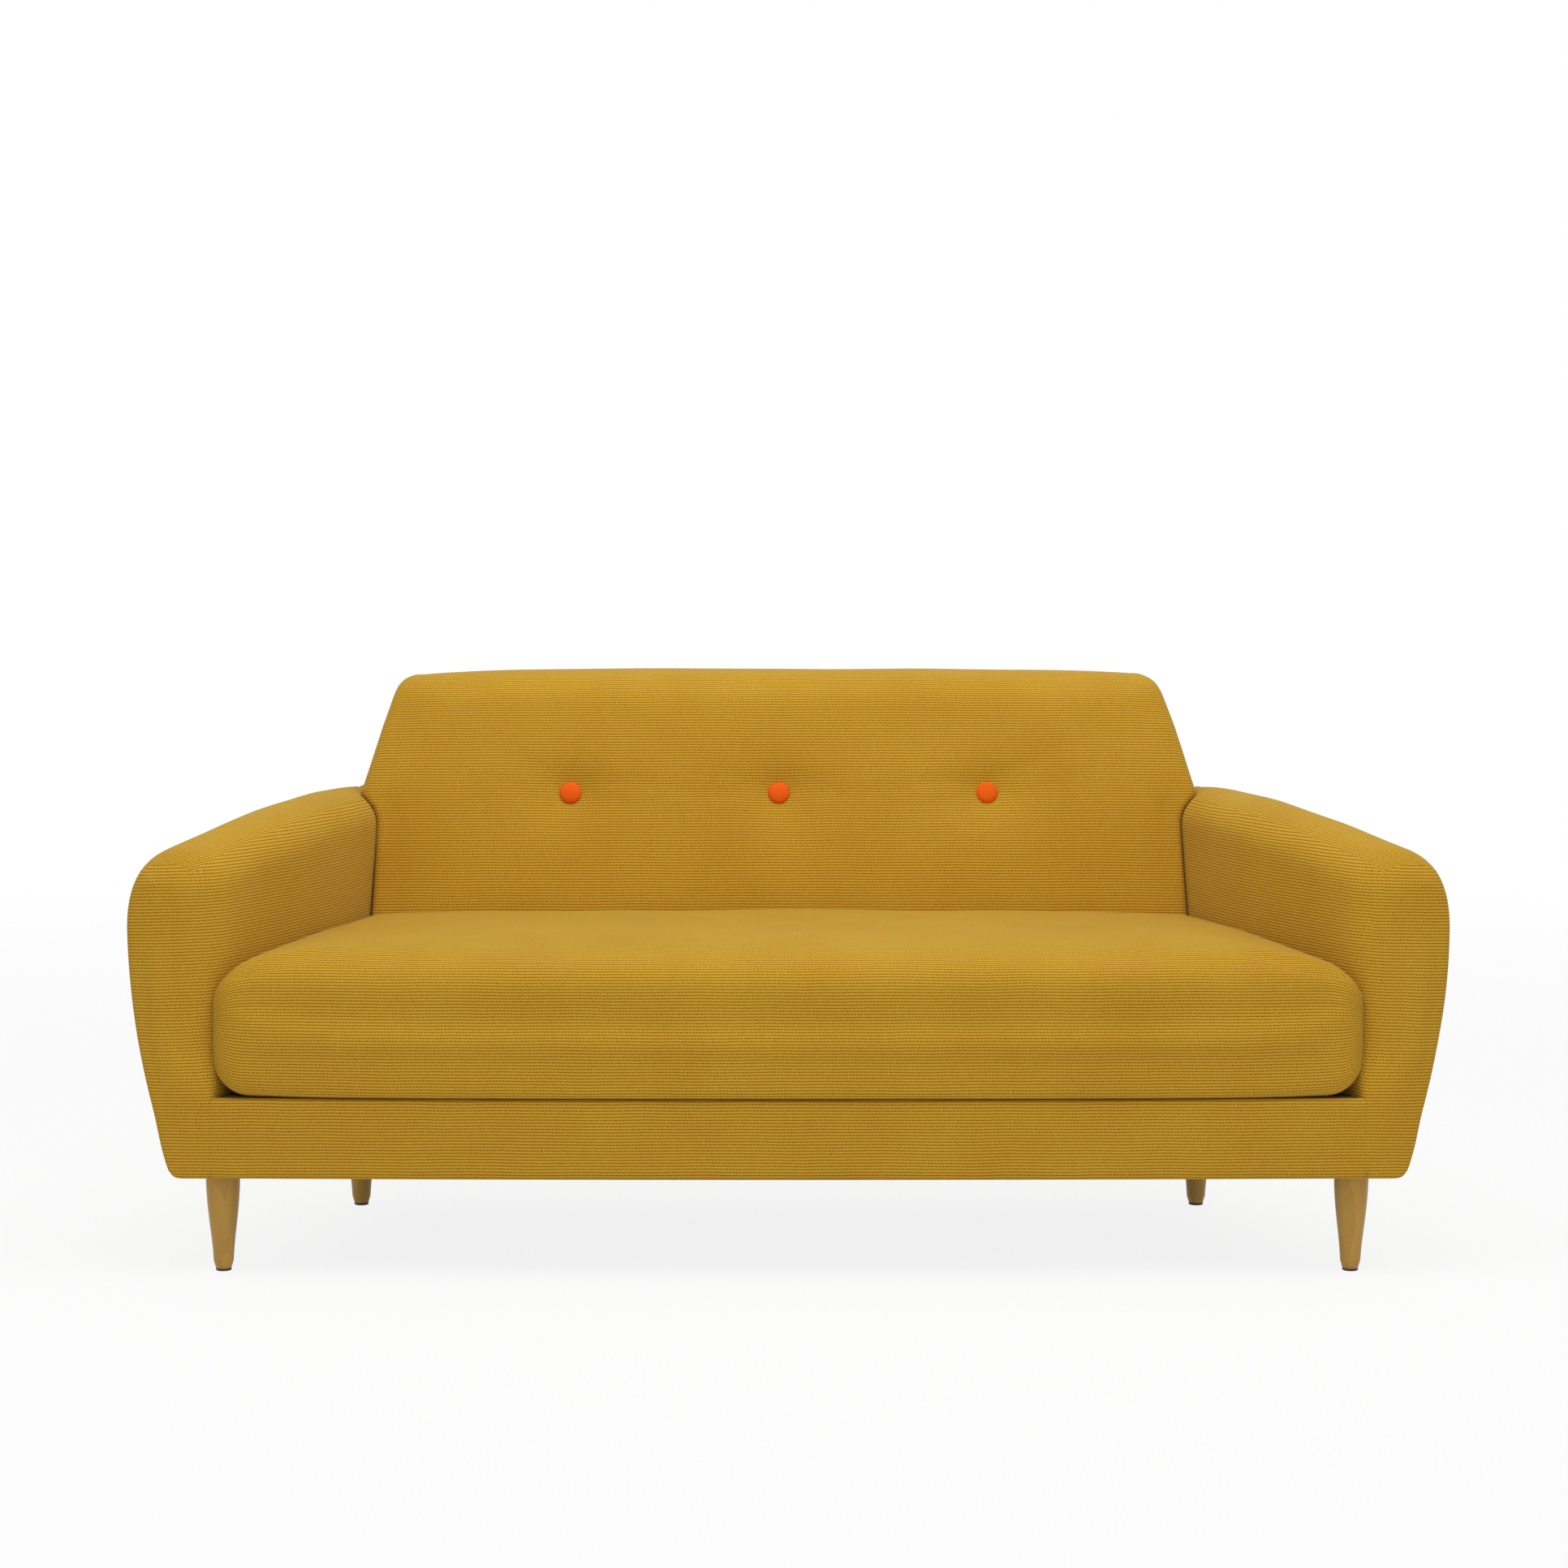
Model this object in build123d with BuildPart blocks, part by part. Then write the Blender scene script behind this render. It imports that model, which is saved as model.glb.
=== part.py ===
"""A three-button sofa on turned legs, built as an upholsterer builds it.

Frame: +X is the sitter's left, -Y is the front, +Z is up; the origin is on the floor under the middle
of the sofa. A timber frame carries woven webbing, hollow upholstered arms, a padded back with three
tufting buttons and one loose seat cushion. All sizes are in millimetres.
"""
from build123d import *
from math import cos, radians, sin, tan
import os

os.makedirs("parts", exist_ok=True)

# ---- overall sizes --------------------------------------------------------------------------------
overall_height = 827        # floor to the top of the back
front_y = -375              # foremost point of the seat cushion
base_z = 140                # underside of the upholstered body
deck_z = 250                # top of the sprung deck, where the cushion lies

# ---- the arms: hollow, flared forward along a parabola, drooping from a peak near the back --------
arm_front_y = -357
arm_width = 122             # across the arm at its widest
arm_foot = 59               # across the arm at its underside
arm_belly = 109             # across the arm half way up its leaning outer face
arm_belly_z = 340
arm_wide_z = 490
arm_crown = 66              # ridge line, measured from the inner face
arm_peak_z = 643
arm_peak_y = 120
arm_droop = 59              # fall of the ridge from its peak to the front
arm_shoulder = 57           # height of the round shoulder on the inner side
arm_nose_radius = 20        # rounding of the arm's front edges
inner_foam = 22
outer_foam = 8
top_foam = 22
front_foam = 12

# ---- the seat and the back ------------------------------------------------------------------------
seat_half_front = 803       # half the width between the arms at the front
seat_back_y = 140           # where the cushion top meets the back
seat_back_z = 458
flare_rear = 0.21           # slope of the arm's inner face beside the back
back_recline = 15           # degrees, inner face of the back
back_rake = 12              # degrees, outer face of the back
back_top_y = 373            # outer face of the back at full height
back_top_half = 590         # half width of the back at its top
back_taper = 55             # how much wider each side is where the back rises out of the arms
back_shoulder_half = back_top_half + back_taper
back_shoulder_z = 640
rear_margin = 40            # how much wider each side of the seat is than the top of the back
seat_half_rear = back_top_half + rear_margin
back_top_crown = 8          # rise of the top edge at its middle
back_edge_radius = 24
back_foam = 52
back_top_foam = 27
back_side_foam = 20
outside_back_sheet = 5
cushion_crown = 16
cushion_front_z = 440
cushion_bow = 14            # forward bow of the cushion's front in plan
border_bow = 12
cushion_gap = 1.5           # cushion to arm and back
seat_gap = 0.3              # cushion to deck
fit = 0.4                   # between upholstery and what it covers
snug = 0.05                 # radial play of a pin, bolt or barrel in its hole
slip = 0.2                  # between sheets that lie on each other
hair = 0.1

# ---- timber, webbing and cloth --------------------------------------------------------------------
board = 20
rail_height = 100
rail_chamfer = 2
rail_z = base_z + 1.5
rail_top = rail_z + rail_height
block_height = 35
web_width = 50
web_thick = 1.8
web_ramp = 10               # length in which a strap rises over or dips under another
web_ease = 4                # straight part of a strap beyond the one that it crosses
web_end_margin = 4          # end of a strap to the edge of its rail
cloth = 1.2
panel_thick = 3

# ---- legs and their fixings -----------------------------------------------------------------------
leg_top_diameter = 48
leg_foot_diameter = 28
leg_heel_round = 3
leg_shoulder = 4            # straight part at the top of a leg
leg_belly = 0.8             # bulge of a leg's side
leg_hole_play = 1           # dust cloth to leg
leg_setback = 44            # leg centre behind the arm's front
front_leg_outset = 10       # leg centre outside the line of the arm's inner face
rear_leg_y = 160
rear_leg_outset = 20
glide_diameter = 22
glide_height = 4
glide_pin_diameter = 3
glide_pin_length = 14
glide_round = 1.2
bolt_diameter = 8
bolt_in_leg = 27
bolt_in_block = 32
bolt_hole_radius = bolt_diameter / 2 + snug
bolt_block_play = 0.5       # radial play of a bolt in its block
bolt_chamfer = 1
nut_barrel_diameter = 10
nut_barrel_length = 11
nut_flange_diameter = 22
nut_flange_thick = 1.5

# ---- buttons --------------------------------------------------------------------------------------
button_diameter = 34
button_height = 9
button_round = 5
button_spacing = 322
button_drop = 189           # button centres below the top of the back
button_z = overall_height - button_drop
dimple_depth = 9
dimple_radius = 44
twine_diameter = 2
needle_play = 0.3           # radial play of the twine in the foam
web_hole_play = 0.5         # radial play of the twine in a strap
toggle_diameter = 7
toggle_length = 26
toggle_gap = 0.8            # toggle to the strap that it bears on

# ---- the cushion's zip ----------------------------------------------------------------------------
zip_length = 1100
zip_tape_width = 30
zip_pocket_depth = 8
zip_chain_width = 6
zip_chain_height = 2.5
zip_slider_length = 14
zip_slider_width = 12
zip_slider_rise = 2         # height of the slider above the chain
zip_slider_slant = 75       # degrees
zip_pocket_play = 2         # pocket to tape, all told

arm_length = seat_back_y - arm_front_y
flare_gain = (seat_half_front - seat_half_rear - flare_rear * arm_length) / arm_length**2
rear_y = back_top_y + back_edge_radius
stations = [arm_front_y + (rear_y - arm_front_y) * k / 4 for k in range(5)]


def arm_inner_x(y):
    """Half the width between the arms at depth y."""
    run = seat_back_y - y
    return seat_half_rear + flare_rear * run + flare_gain * run**2


def arm_top_z(y):
    """Height of the arm's ridge at depth y."""
    return arm_peak_z - arm_droop * ((y - arm_peak_y) / (arm_peak_y - arm_front_y)) ** 2


def back_inner_y(z):
    """Inner face of the back at height z."""
    return seat_back_y + (z - seat_back_z) * tan(radians(back_recline))


def back_outer_y(z):
    """Outer face of the back at height z."""
    return back_top_y - (overall_height - z) * tan(radians(back_rake))


# ---- shapes that several pieces share -------------------------------------------------------------
def arm_section(y, inner=0.0, outer=0.0, top=0.0, open_below=None):
    """An upright slice of the arm at depth y, drawn in by the three wall thicknesses.

    With open_below, the slice also opens inwards under that height, as the hollow of the arm does."""
    face_x = arm_inner_x(y)
    left = face_x + inner
    crown = face_x + arm_crown
    wide = face_x + arm_width - outer
    peak = arm_top_z(y)
    shoulder = peak - arm_shoulder - top
    with BuildSketch(Plane.XZ.offset(-y)) as section:
        with BuildLine():
            foot = Line((left, base_z), (face_x + arm_foot - outer, base_z))
            ThreePointArc(foot @ 1, (face_x + arm_belly - outer, arm_belly_z), (wide, arm_wide_z))
            EllipticalCenterArc(
                (crown, arm_wide_z), wide - crown, peak - top - arm_wide_z, start_angle=0, arc_size=90
            )
            EllipticalCenterArc(
                (crown, shoulder), crown - left, peak - top - shoulder, start_angle=90, arc_size=90
            )
            if open_below is None:
                Line((left, shoulder), foot @ 0)
            else:
                hollow = face_x - arm_foot
                Polyline(
                    (left, shoulder), (left, open_below), (hollow, open_below), (hollow, base_z), foot @ 0
                )
        make_face()
    return section.sketch.face()


def raked_box(thickness, inset=0.0, half_width=arm_width + seat_half_front):
    """An upright slab that follows the raked outer face of the back, inset from it."""
    low, high = base_z - board, overall_height + back_edge_radius
    with BuildPart() as slab:
        with BuildSketch(Plane.YZ.offset(-half_width)):
            with BuildLine():
                Polyline(
                    (back_outer_y(low) - inset, low),
                    (back_outer_y(high) - inset, high),
                    (back_outer_y(high) - inset - thickness, high),
                    (back_outer_y(low) - inset - thickness, low),
                    close=True,
                )
            make_face()
        extrude(amount=2 * half_width)
    return slab.part


raked_cut = raked_box(3 * arm_length, inset=outside_back_sheet)

with BuildPart() as arm_envelope:
    loft([arm_section(y) for y in stations])
    front_face = arm_envelope.faces().sort_by(Axis.Y)[0]
    fillet(front_face.edges().sort_by(Axis.Z)[1:], arm_nose_radius)

with BuildPart() as arm_clearance:
    loft([arm_section(y, inner=-fit, outer=-fit, top=-fit) for y in stations])
right_arm_clearance = mirror(arm_clearance.part, about=Plane.YZ)

hollow_stations = [arm_front_y + front_foam, *stations[1:]]
arm_opening_z = deck_z - cushion_gap         # below this the arm's hollow is open to the seat's frame
with BuildPart() as arm_hollow:
    loft([arm_section(y, inner_foam, outer_foam, top_foam, arm_opening_z) for y in hollow_stations])

# The timber inside an arm is cut from this core, which is the hollow less a fitting gap.
with BuildPart() as arm_core:
    loft([arm_section(y, inner_foam + fit, outer_foam + fit, top_foam + fit) for y in hollow_stations])
    add(raked_cut, mode=Mode.INTERSECT)


# ---- the base of the frame ------------------------------------------------------------------------
frame_front_y = arm_front_y + front_foam + fit
rail_outset = arm_foot - outer_foam          # outer face of a side rail, from the arm's inner face
post_inner = 28                              # how far the posts reach in past the arm's inner face
rear_rail_y = back_outer_y(rail_z) - outside_back_sheet - fit
post_front_y = frame_front_y + board
half_front_rail = arm_inner_x(frame_front_y) - post_inner

with BuildPart() as front_rail:
    with BuildSketch(Plane.XY.offset(rail_z)):
        with Locations((0, frame_front_y + board / 2)):
            Rectangle(2 * half_front_rail, board)
    extrude(amount=rail_height)
    # a tenon at each end goes into the arm's front post
    with BuildSketch(Plane.XY.offset(rail_z + rail_height / 4)):
        with Locations((0, frame_front_y + board / 2)):
            Rectangle(2 * (half_front_rail + board), board / 3)
    extrude(amount=rail_height / 2)
    chamfer(front_rail.edges().filter_by(Axis.X).group_by(Axis.Z)[-1], rail_chamfer)

with BuildPart() as rear_rail:
    with BuildSketch(Plane.XY.offset(rail_z)):
        with Locations((0, rear_rail_y - board / 2)):
            Rectangle(2 * (arm_inner_x(rear_rail_y) + rail_outset - board - fit), board)
    extrude(amount=rail_height)


def plan_strip(x_from, x_to, y_from, y_to, z_from, height):
    """An upright board that follows the flare of the arm, between two offsets from its inner face."""
    middle = (y_from + y_to) / 2
    with BuildPart() as strip:
        with BuildSketch(Plane.XY.offset(z_from)):
            with BuildLine():
                outer = ThreePointArc(*[(arm_inner_x(y) + x_to, y) for y in (y_from, middle, y_to)])
                inner = ThreePointArc(*[(arm_inner_x(y) + x_from, y) for y in (y_to, middle, y_from)])
                Line(outer @ 1, inner @ 0)
                Line(inner @ 1, outer @ 0)
            make_face()
        extrude(amount=height)
    return strip.part


with BuildPart() as side_rail:
    side_rail_span = (rail_outset - board, rail_outset - fit, post_front_y + fit, rear_rail_y)
    add(plan_strip(*side_rail_span, rail_z, rail_height))

cross_rail_x = 250
cross_rail_height = 60
with BuildPart() as cross_rail:
    with BuildSketch(Plane.XY.offset(rail_z)):
        with Locations((cross_rail_x, (post_front_y + rear_rail_y - board) / 2)):
            Rectangle(board, rear_rail_y - board - post_front_y - 2 * fit)
    extrude(amount=cross_rail_height)

# The deck's rear rail takes the back ends of the seat webbing.
deck_rail_y = seat_back_y - 2 * cushion_gap
deck_rail_height = 40
with BuildPart() as deck_rear_rail:
    with BuildSketch(Plane.XY.offset(rail_top - deck_rail_height)):
        with Locations((0, deck_rail_y)):
            Rectangle(2 * (arm_inner_x(deck_rail_y + board / 2) + rail_outset - board - fit), board)
    extrude(amount=deck_rail_height)

leg_front_y = arm_front_y + leg_setback
legs_at = [
    (side * (arm_inner_x(y) + outset), y, end, name)
    for side, name in ((-1, "right"), (1, "left"))
    for y, outset, end in ((leg_front_y, front_leg_outset, "front"), (rear_leg_y, rear_leg_outset, "rear"))
]
leg_points = [(x, y) for x, y, end, name in legs_at]

back_post_x = back_top_half - back_side_foam - board - fit
back_post_front_y = deck_rail_y + board / 2 + fit
block_length = 110


def block_outline(y_from, y_to, inner_x):
    """Plan of a leg block, between a straight inner edge and the side rail."""
    reach = rail_outset - board - 4 * fit
    with BuildSketch(Plane.XY.offset(rail_z)) as outline:
        with BuildLine():
            Polyline(
                (inner_x, y_from),
                (arm_inner_x(y_from) + reach, y_from),
                (arm_inner_x(y_to) + reach, y_to),
                (inner_x, y_to),
                close=True,
            )
        make_face()
    return outline.sketch.face()


with BuildPart() as corner_blocks:
    front_block = block_outline(
        post_front_y + fit, post_front_y + block_length, arm_inner_x(leg_front_y) - block_length / 2
    )
    rear_block = block_outline(
        rear_rail_y - board - block_length, rear_rail_y - board - fit, back_post_x + board + fit
    )
    extrude([front_block, rear_block], amount=block_height, dir=(0, 0, 1))
    chamfer(corner_blocks.edges().filter_by(Axis.Z).group_by(Axis.X)[0], block_length / 12)
    mirror(about=Plane.YZ)
    with Locations(*[(x, y, rail_z) for x, y in leg_points]):
        Cylinder(
            bolt_diameter / 2 + bolt_block_play,
            block_height,
            align=(Align.CENTER, Align.CENTER, Align.MIN),
            mode=Mode.SUBTRACT,
        )
    with Locations(*[(x, y, rail_z + block_height) for x, y in leg_points]):
        Cylinder(
            nut_barrel_diameter / 2 + snug,
            nut_barrel_length + fit,
            align=(Align.CENTER, Align.CENTER, Align.MAX),
            mode=Mode.SUBTRACT,
        )

with BuildPart() as tee_nuts:
    with Locations(*[(x, y, rail_z + block_height) for x, y in leg_points]):
        Cylinder(
            nut_flange_diameter / 2, nut_flange_thick, align=(Align.CENTER, Align.CENTER, Align.MIN)
        )
        Cylinder(
            nut_barrel_diameter / 2, nut_barrel_length, align=(Align.CENTER, Align.CENTER, Align.MAX)
        )
        Cylinder(bolt_hole_radius, 3 * nut_barrel_length, mode=Mode.SUBTRACT)

with BuildPart() as hanger_bolts:
    with Locations(*[(x, y, rail_z) for x, y in leg_points]):
        Cylinder(
            bolt_diameter / 2, bolt_in_block, align=(Align.CENTER, Align.CENTER, Align.MIN)
        )
        Cylinder(bolt_diameter / 2, bolt_in_leg, align=(Align.CENTER, Align.CENTER, Align.MAX))
    ends = hanger_bolts.edges().filter_by(GeomType.CIRCLE).group_by(Axis.Z)
    chamfer(ends[0] + ends[-1], bolt_chamfer)


# ---- the legs -------------------------------------------------------------------------------------
def turned_leg(x, y):
    """A tapered leg with a softly bellied side, bored for its bolt above and its glide's pin below."""
    top, foot = leg_top_diameter / 2, leg_foot_diameter / 2
    middle_z = (rail_z + glide_height) / 2
    with BuildPart() as leg:
        with BuildSketch(Plane.XZ.offset(-y)):
            with BuildLine():
                axis_line = Line((x, rail_z), (x, glide_height))
                sole = Line(axis_line @ 1, (x + foot - leg_heel_round, glide_height))
                heel = RadiusArc(sole @ 1, (x + foot, glide_height + leg_heel_round), -leg_heel_round)
                waist = (x + (top + foot) / 2 + leg_belly, middle_z)
                side = ThreePointArc(heel @ 1, waist, (x + top, rail_z - leg_shoulder))
                shoulder = Line(side @ 1, (x + top, rail_z))
                Line(shoulder @ 1, axis_line @ 0)
            make_face()
        revolve(axis=Axis((x, y, 0), (0, 0, 1)))
        with Locations((x, y, rail_z)):
            Cylinder(
                bolt_hole_radius,
                bolt_in_leg + bolt_chamfer,
                align=(Align.CENTER, Align.CENTER, Align.MAX),
                mode=Mode.SUBTRACT,
            )
        with Locations((x, y, glide_height)):
            Cylinder(
                glide_pin_diameter / 2 + snug,
                glide_pin_length + fit,
                align=(Align.CENTER, Align.CENTER, Align.MIN),
                mode=Mode.SUBTRACT,
            )
    return leg.part


with BuildPart() as foot_glides:
    with Locations(*[(x, y, 0) for x, y in leg_points]):
        Cylinder(glide_diameter / 2, glide_height, align=(Align.CENTER, Align.CENTER, Align.MIN))
    rims = foot_glides.edges().filter_by(GeomType.CIRCLE).group_by(Axis.Z)[0]
    fillet(rims, glide_round)
    with Locations(*[(x, y, glide_height) for x, y in leg_points]):
        Cylinder(
            glide_pin_diameter / 2, glide_pin_length, align=(Align.CENTER, Align.CENTER, Align.MIN)
        )


# ---- the frame of an arm --------------------------------------------------------------------------
with BuildPart() as arm_front_post:
    with BuildSketch(Plane.XY.offset(rail_z)):
        with Locations((seat_half_front, frame_front_y + board / 2)):
            Rectangle(4 * arm_width, board)
    extrude(amount=arm_peak_z)
    add(arm_core.part, mode=Mode.INTERSECT)
    # the post widens inwards below the deck to take the front rail's tenon
    with BuildSketch(Plane.XY.offset(rail_z)):
        with BuildLine():
            inner_x = half_front_rail + fit
            Polyline(
                (inner_x, frame_front_y),
                (arm_inner_x(frame_front_y) + rail_outset - fit, frame_front_y),
                (arm_inner_x(post_front_y) + rail_outset - fit, post_front_y),
                (inner_x, post_front_y),
                close=True,
            )
        make_face()
    extrude(amount=rail_height)
    with Locations((half_front_rail, frame_front_y + board / 2, rail_z + rail_height / 2)):
        Box(2 * (board + fit), board / 3 + fit, rail_height / 2 + fit, mode=Mode.SUBTRACT)

with BuildPart() as arm_rear_post:
    add(raked_box(board, inset=outside_back_sheet + fit))
    add(arm_core.part, mode=Mode.INTERSECT)
    split(bisect_by=Plane.XY.offset(rail_top + fit), keep=Keep.TOP)

rear_post_room = raked_box(2 * board + fit)
arm_rail_depth = 44
with BuildPart() as arm_top_rail:
    rail_end_y = rear_y
    middle_y = (post_front_y + rail_end_y) / 2
    with BuildSketch(Plane.YZ.offset(seat_half_rear - arm_width)):
        with BuildLine():
            upper = ThreePointArc(*[(y, arm_top_z(y)) for y in (post_front_y + fit, middle_y, rail_end_y)])
            rail_under = top_foam + arm_rail_depth
            back_to_front = (rail_end_y, middle_y, post_front_y + fit)
            lower = ThreePointArc(*[(y, arm_top_z(y) - rail_under) for y in back_to_front])
            Line(upper @ 1, lower @ 0)
            Line(lower @ 1, upper @ 0)
        make_face()
    extrude(amount=4 * arm_width)
    add(arm_core.part, mode=Mode.INTERSECT)
    add(rear_post_room, mode=Mode.SUBTRACT)
    with BuildSketch(Plane.XY.offset(arm_wide_z - arm_width)):
        with Locations((seat_half_front, arm_front_y)):
            Rectangle(4 * arm_width, 2 * (post_front_y + fit - arm_front_y))
    extrude(amount=2 * arm_width, mode=Mode.SUBTRACT)

# A bent hardboard panel backs the foam of the arm's inner face, and follows it from front to back.
panel_skins = []
for reach in (inner_foam + fit, inner_foam + fit + panel_thick):
    with BuildPart() as panel_skin:
        loft([arm_section(y, reach, outer_foam, top_foam, arm_opening_z) for y in hollow_stations])
    panel_skins.append(panel_skin.part)

with BuildPart() as arm_panel:
    panel_front = post_front_y + fit
    panel_depth = seat_back_y + board - panel_front
    panel_z = arm_opening_z + fit
    panel_height = arm_top_z(arm_front_y) - arm_shoulder - top_foam - panel_z
    with BuildSketch(Plane.XY.offset(panel_z)):
        with Locations((seat_half_front, panel_front + panel_depth / 2)):
            Rectangle(2 * seat_half_front, panel_depth)
    extrude(amount=panel_height)
    add(panel_skins[0], mode=Mode.INTERSECT)
    add(panel_skins[1], mode=Mode.SUBTRACT)
    add(arm_top_rail.part, mode=Mode.SUBTRACT)
    add(rear_post_room, mode=Mode.SUBTRACT)


# ---- the frame of the back ------------------------------------------------------------------------
back_frame_top = overall_height - back_top_foam - fit
web_plane_inset = back_foam + fit            # front of the back's webbing, behind the inner face
post_inset = web_plane_inset + web_thick / cos(radians(back_recline)) + slip


def back_board(x_from, width):
    """A raked upright of the back: it stands behind the deck rail and is notched over the rear rail."""
    heel = rear_rail_y - board - fit
    with BuildPart() as upright:
        with BuildSketch(Plane.YZ.offset(x_from)):
            with BuildLine():
                Polyline(
                    (back_post_front_y, rail_z),
                    (heel, rail_z),
                    (heel, rail_top + fit),
                    (back_outer_y(rail_top + fit) - outside_back_sheet - fit, rail_top + fit),
                    (back_outer_y(back_frame_top) - outside_back_sheet - fit, back_frame_top),
                    (back_inner_y(back_frame_top) + post_inset, back_frame_top),
                    (back_inner_y(rail_top + board) + post_inset, rail_top + board),
                    (back_post_front_y, rail_top),
                    close=True,
                )
            make_face()
        extrude(amount=width)
    return upright.part


upright_x = 165
top_rail_depth = 70
with BuildPart() as back_post:
    add(back_board(back_post_x, board))
with BuildPart() as back_upright:
    add(back_board(upright_x - board / 2, board))
    # a housing at the top takes the back's top rail
    with BuildSketch(Plane.YZ.offset(0)):
        with BuildLine():
            low = back_frame_top - board - fit
            Polyline(
                (back_outer_y(low) - outside_back_sheet - top_rail_depth - fit, low),
                (back_outer_y(low), low),
                (back_outer_y(overall_height), overall_height),
                (back_outer_y(overall_height) - outside_back_sheet - top_rail_depth - fit, overall_height),
                close=True,
            )
        make_face()
    extrude(amount=2 * upright_x, mode=Mode.SUBTRACT)

with BuildPart() as back_top_rail:
    half_span = back_post_x - fit
    with BuildSketch(Plane.YZ.offset(-half_span)):
        with BuildLine():
            low = back_frame_top - board
            rear_inset = outside_back_sheet + fit
            Polyline(
                (back_outer_y(low) - rear_inset - top_rail_depth + board, low),
                (back_outer_y(low) - rear_inset, low),
                (back_outer_y(back_frame_top) - rear_inset, back_frame_top),
                (back_outer_y(back_frame_top) - rear_inset - top_rail_depth + board, back_frame_top),
                close=True,
            )
        make_face()
    extrude(amount=2 * half_span)

# The tack rail holds the bottom edge of the back's cover, just above the deck.
tack_rail_z = rail_top + board
tack_rail_top = tack_rail_z + 2.5 * board
with BuildPart() as back_tack_rails:
    low, high = tack_rail_z + fit, tack_rail_top
    with BuildSketch(Plane.YZ.offset(upright_x + board / 2 + fit)):
        with BuildLine():
            Polyline(
                (back_inner_y(low) + post_inset, low),
                (back_inner_y(low) + post_inset + board, low),
                (back_inner_y(high) + post_inset + board, high),
                (back_inner_y(high) + post_inset, high),
                close=True,
            )
        make_face()
    extrude(amount=back_post_x - upright_x - board / 2 - 2 * fit)
    mirror(about=Plane.YZ)


# ---- webbing --------------------------------------------------------------------------------------
web_plane_z = rail_top + web_thick / 2
web_rise = web_thick / 2 + hair
long_web_pitch = 118
cross_web_pitch = 100
long_webs = range(-5, 6)
cross_webs = range(-2, 2)
cross_web_y0 = -70


def woven_profile(start, end, crossings, first_up):
    """Closed side profile of a strap that passes over and under the straps it crosses."""
    reach = web_width / 2 + web_ease
    line = [(start, web_plane_z)]
    up = first_up
    for at in crossings:
        level = web_plane_z + (web_rise if up else -web_rise)
        line += [
            (at - reach - web_ramp, web_plane_z),
            (at - reach, level),
            (at + reach, level),
            (at + reach + web_ramp, web_plane_z),
        ]
        up = not up
    line.append((end, web_plane_z))
    half = web_thick / 2
    Polyline([(u, z - half) for u, z in line] + [(u, z + half) for u, z in reversed(line)], close=True)


with BuildPart() as seat_webbing_long:
    for k in long_webs:
        with BuildSketch(Plane.YZ.offset(k * long_web_pitch - web_width / 2)):
            with BuildLine():
                woven_profile(
                    frame_front_y + web_end_margin,
                    deck_rail_y + board / 2 - web_end_margin,
                    [cross_web_y0 + j * cross_web_pitch for j in cross_webs],
                    k % 2 == 0,
                )
            make_face()
        extrude(amount=web_width)

with BuildPart() as seat_webbing_cross:
    for j in cross_webs:
        strap_y = cross_web_y0 + j * cross_web_pitch
        strap_half = arm_inner_x(strap_y + web_width / 2) + rail_outset - board / 2
        with BuildSketch(Plane.XZ.offset(-strap_y - web_width / 2)):
            with BuildLine():
                woven_profile(
                    -strap_half,
                    strap_half,
                    [k * long_web_pitch for k in long_webs],
                    j % 2 == (1 if long_webs[0] % 2 == 0 else 0),
                )
            make_face()
        extrude(amount=web_width)

back_web_rows = (-3, -2, -1, 0, 1)           # counted from the strap behind the buttons
back_web_pitch = (button_z - tack_rail_top - web_width / 2) / -back_web_rows[0]
back_web_half = back_post_x + board
back_web_depth = web_plane_inset * cos(radians(back_recline)) + web_thick
back_tilt = Plane(
    origin=(0, back_inner_y(button_z), button_z),
    x_dir=(1, 0, 0),
    z_dir=(0, -cos(radians(back_recline)), sin(radians(back_recline))),
)
with BuildPart() as back_webbing:
    with BuildSketch(back_tilt.offset(-back_web_depth)):
        with Locations(*[(0, k * back_web_pitch) for k in back_web_rows]):
            Rectangle(2 * back_web_half, web_width)
        with GridLocations(button_spacing, 0, 3, 1):
            Circle(twine_diameter / 2 + web_hole_play, mode=Mode.SUBTRACT)
    extrude(amount=web_thick)


# ---- upholstery -----------------------------------------------------------------------------------
with BuildPart() as arm_pad:
    add(arm_envelope.part)
    add(raked_cut, mode=Mode.INTERSECT)
    add(arm_hollow.part, mode=Mode.SUBTRACT)

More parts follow.
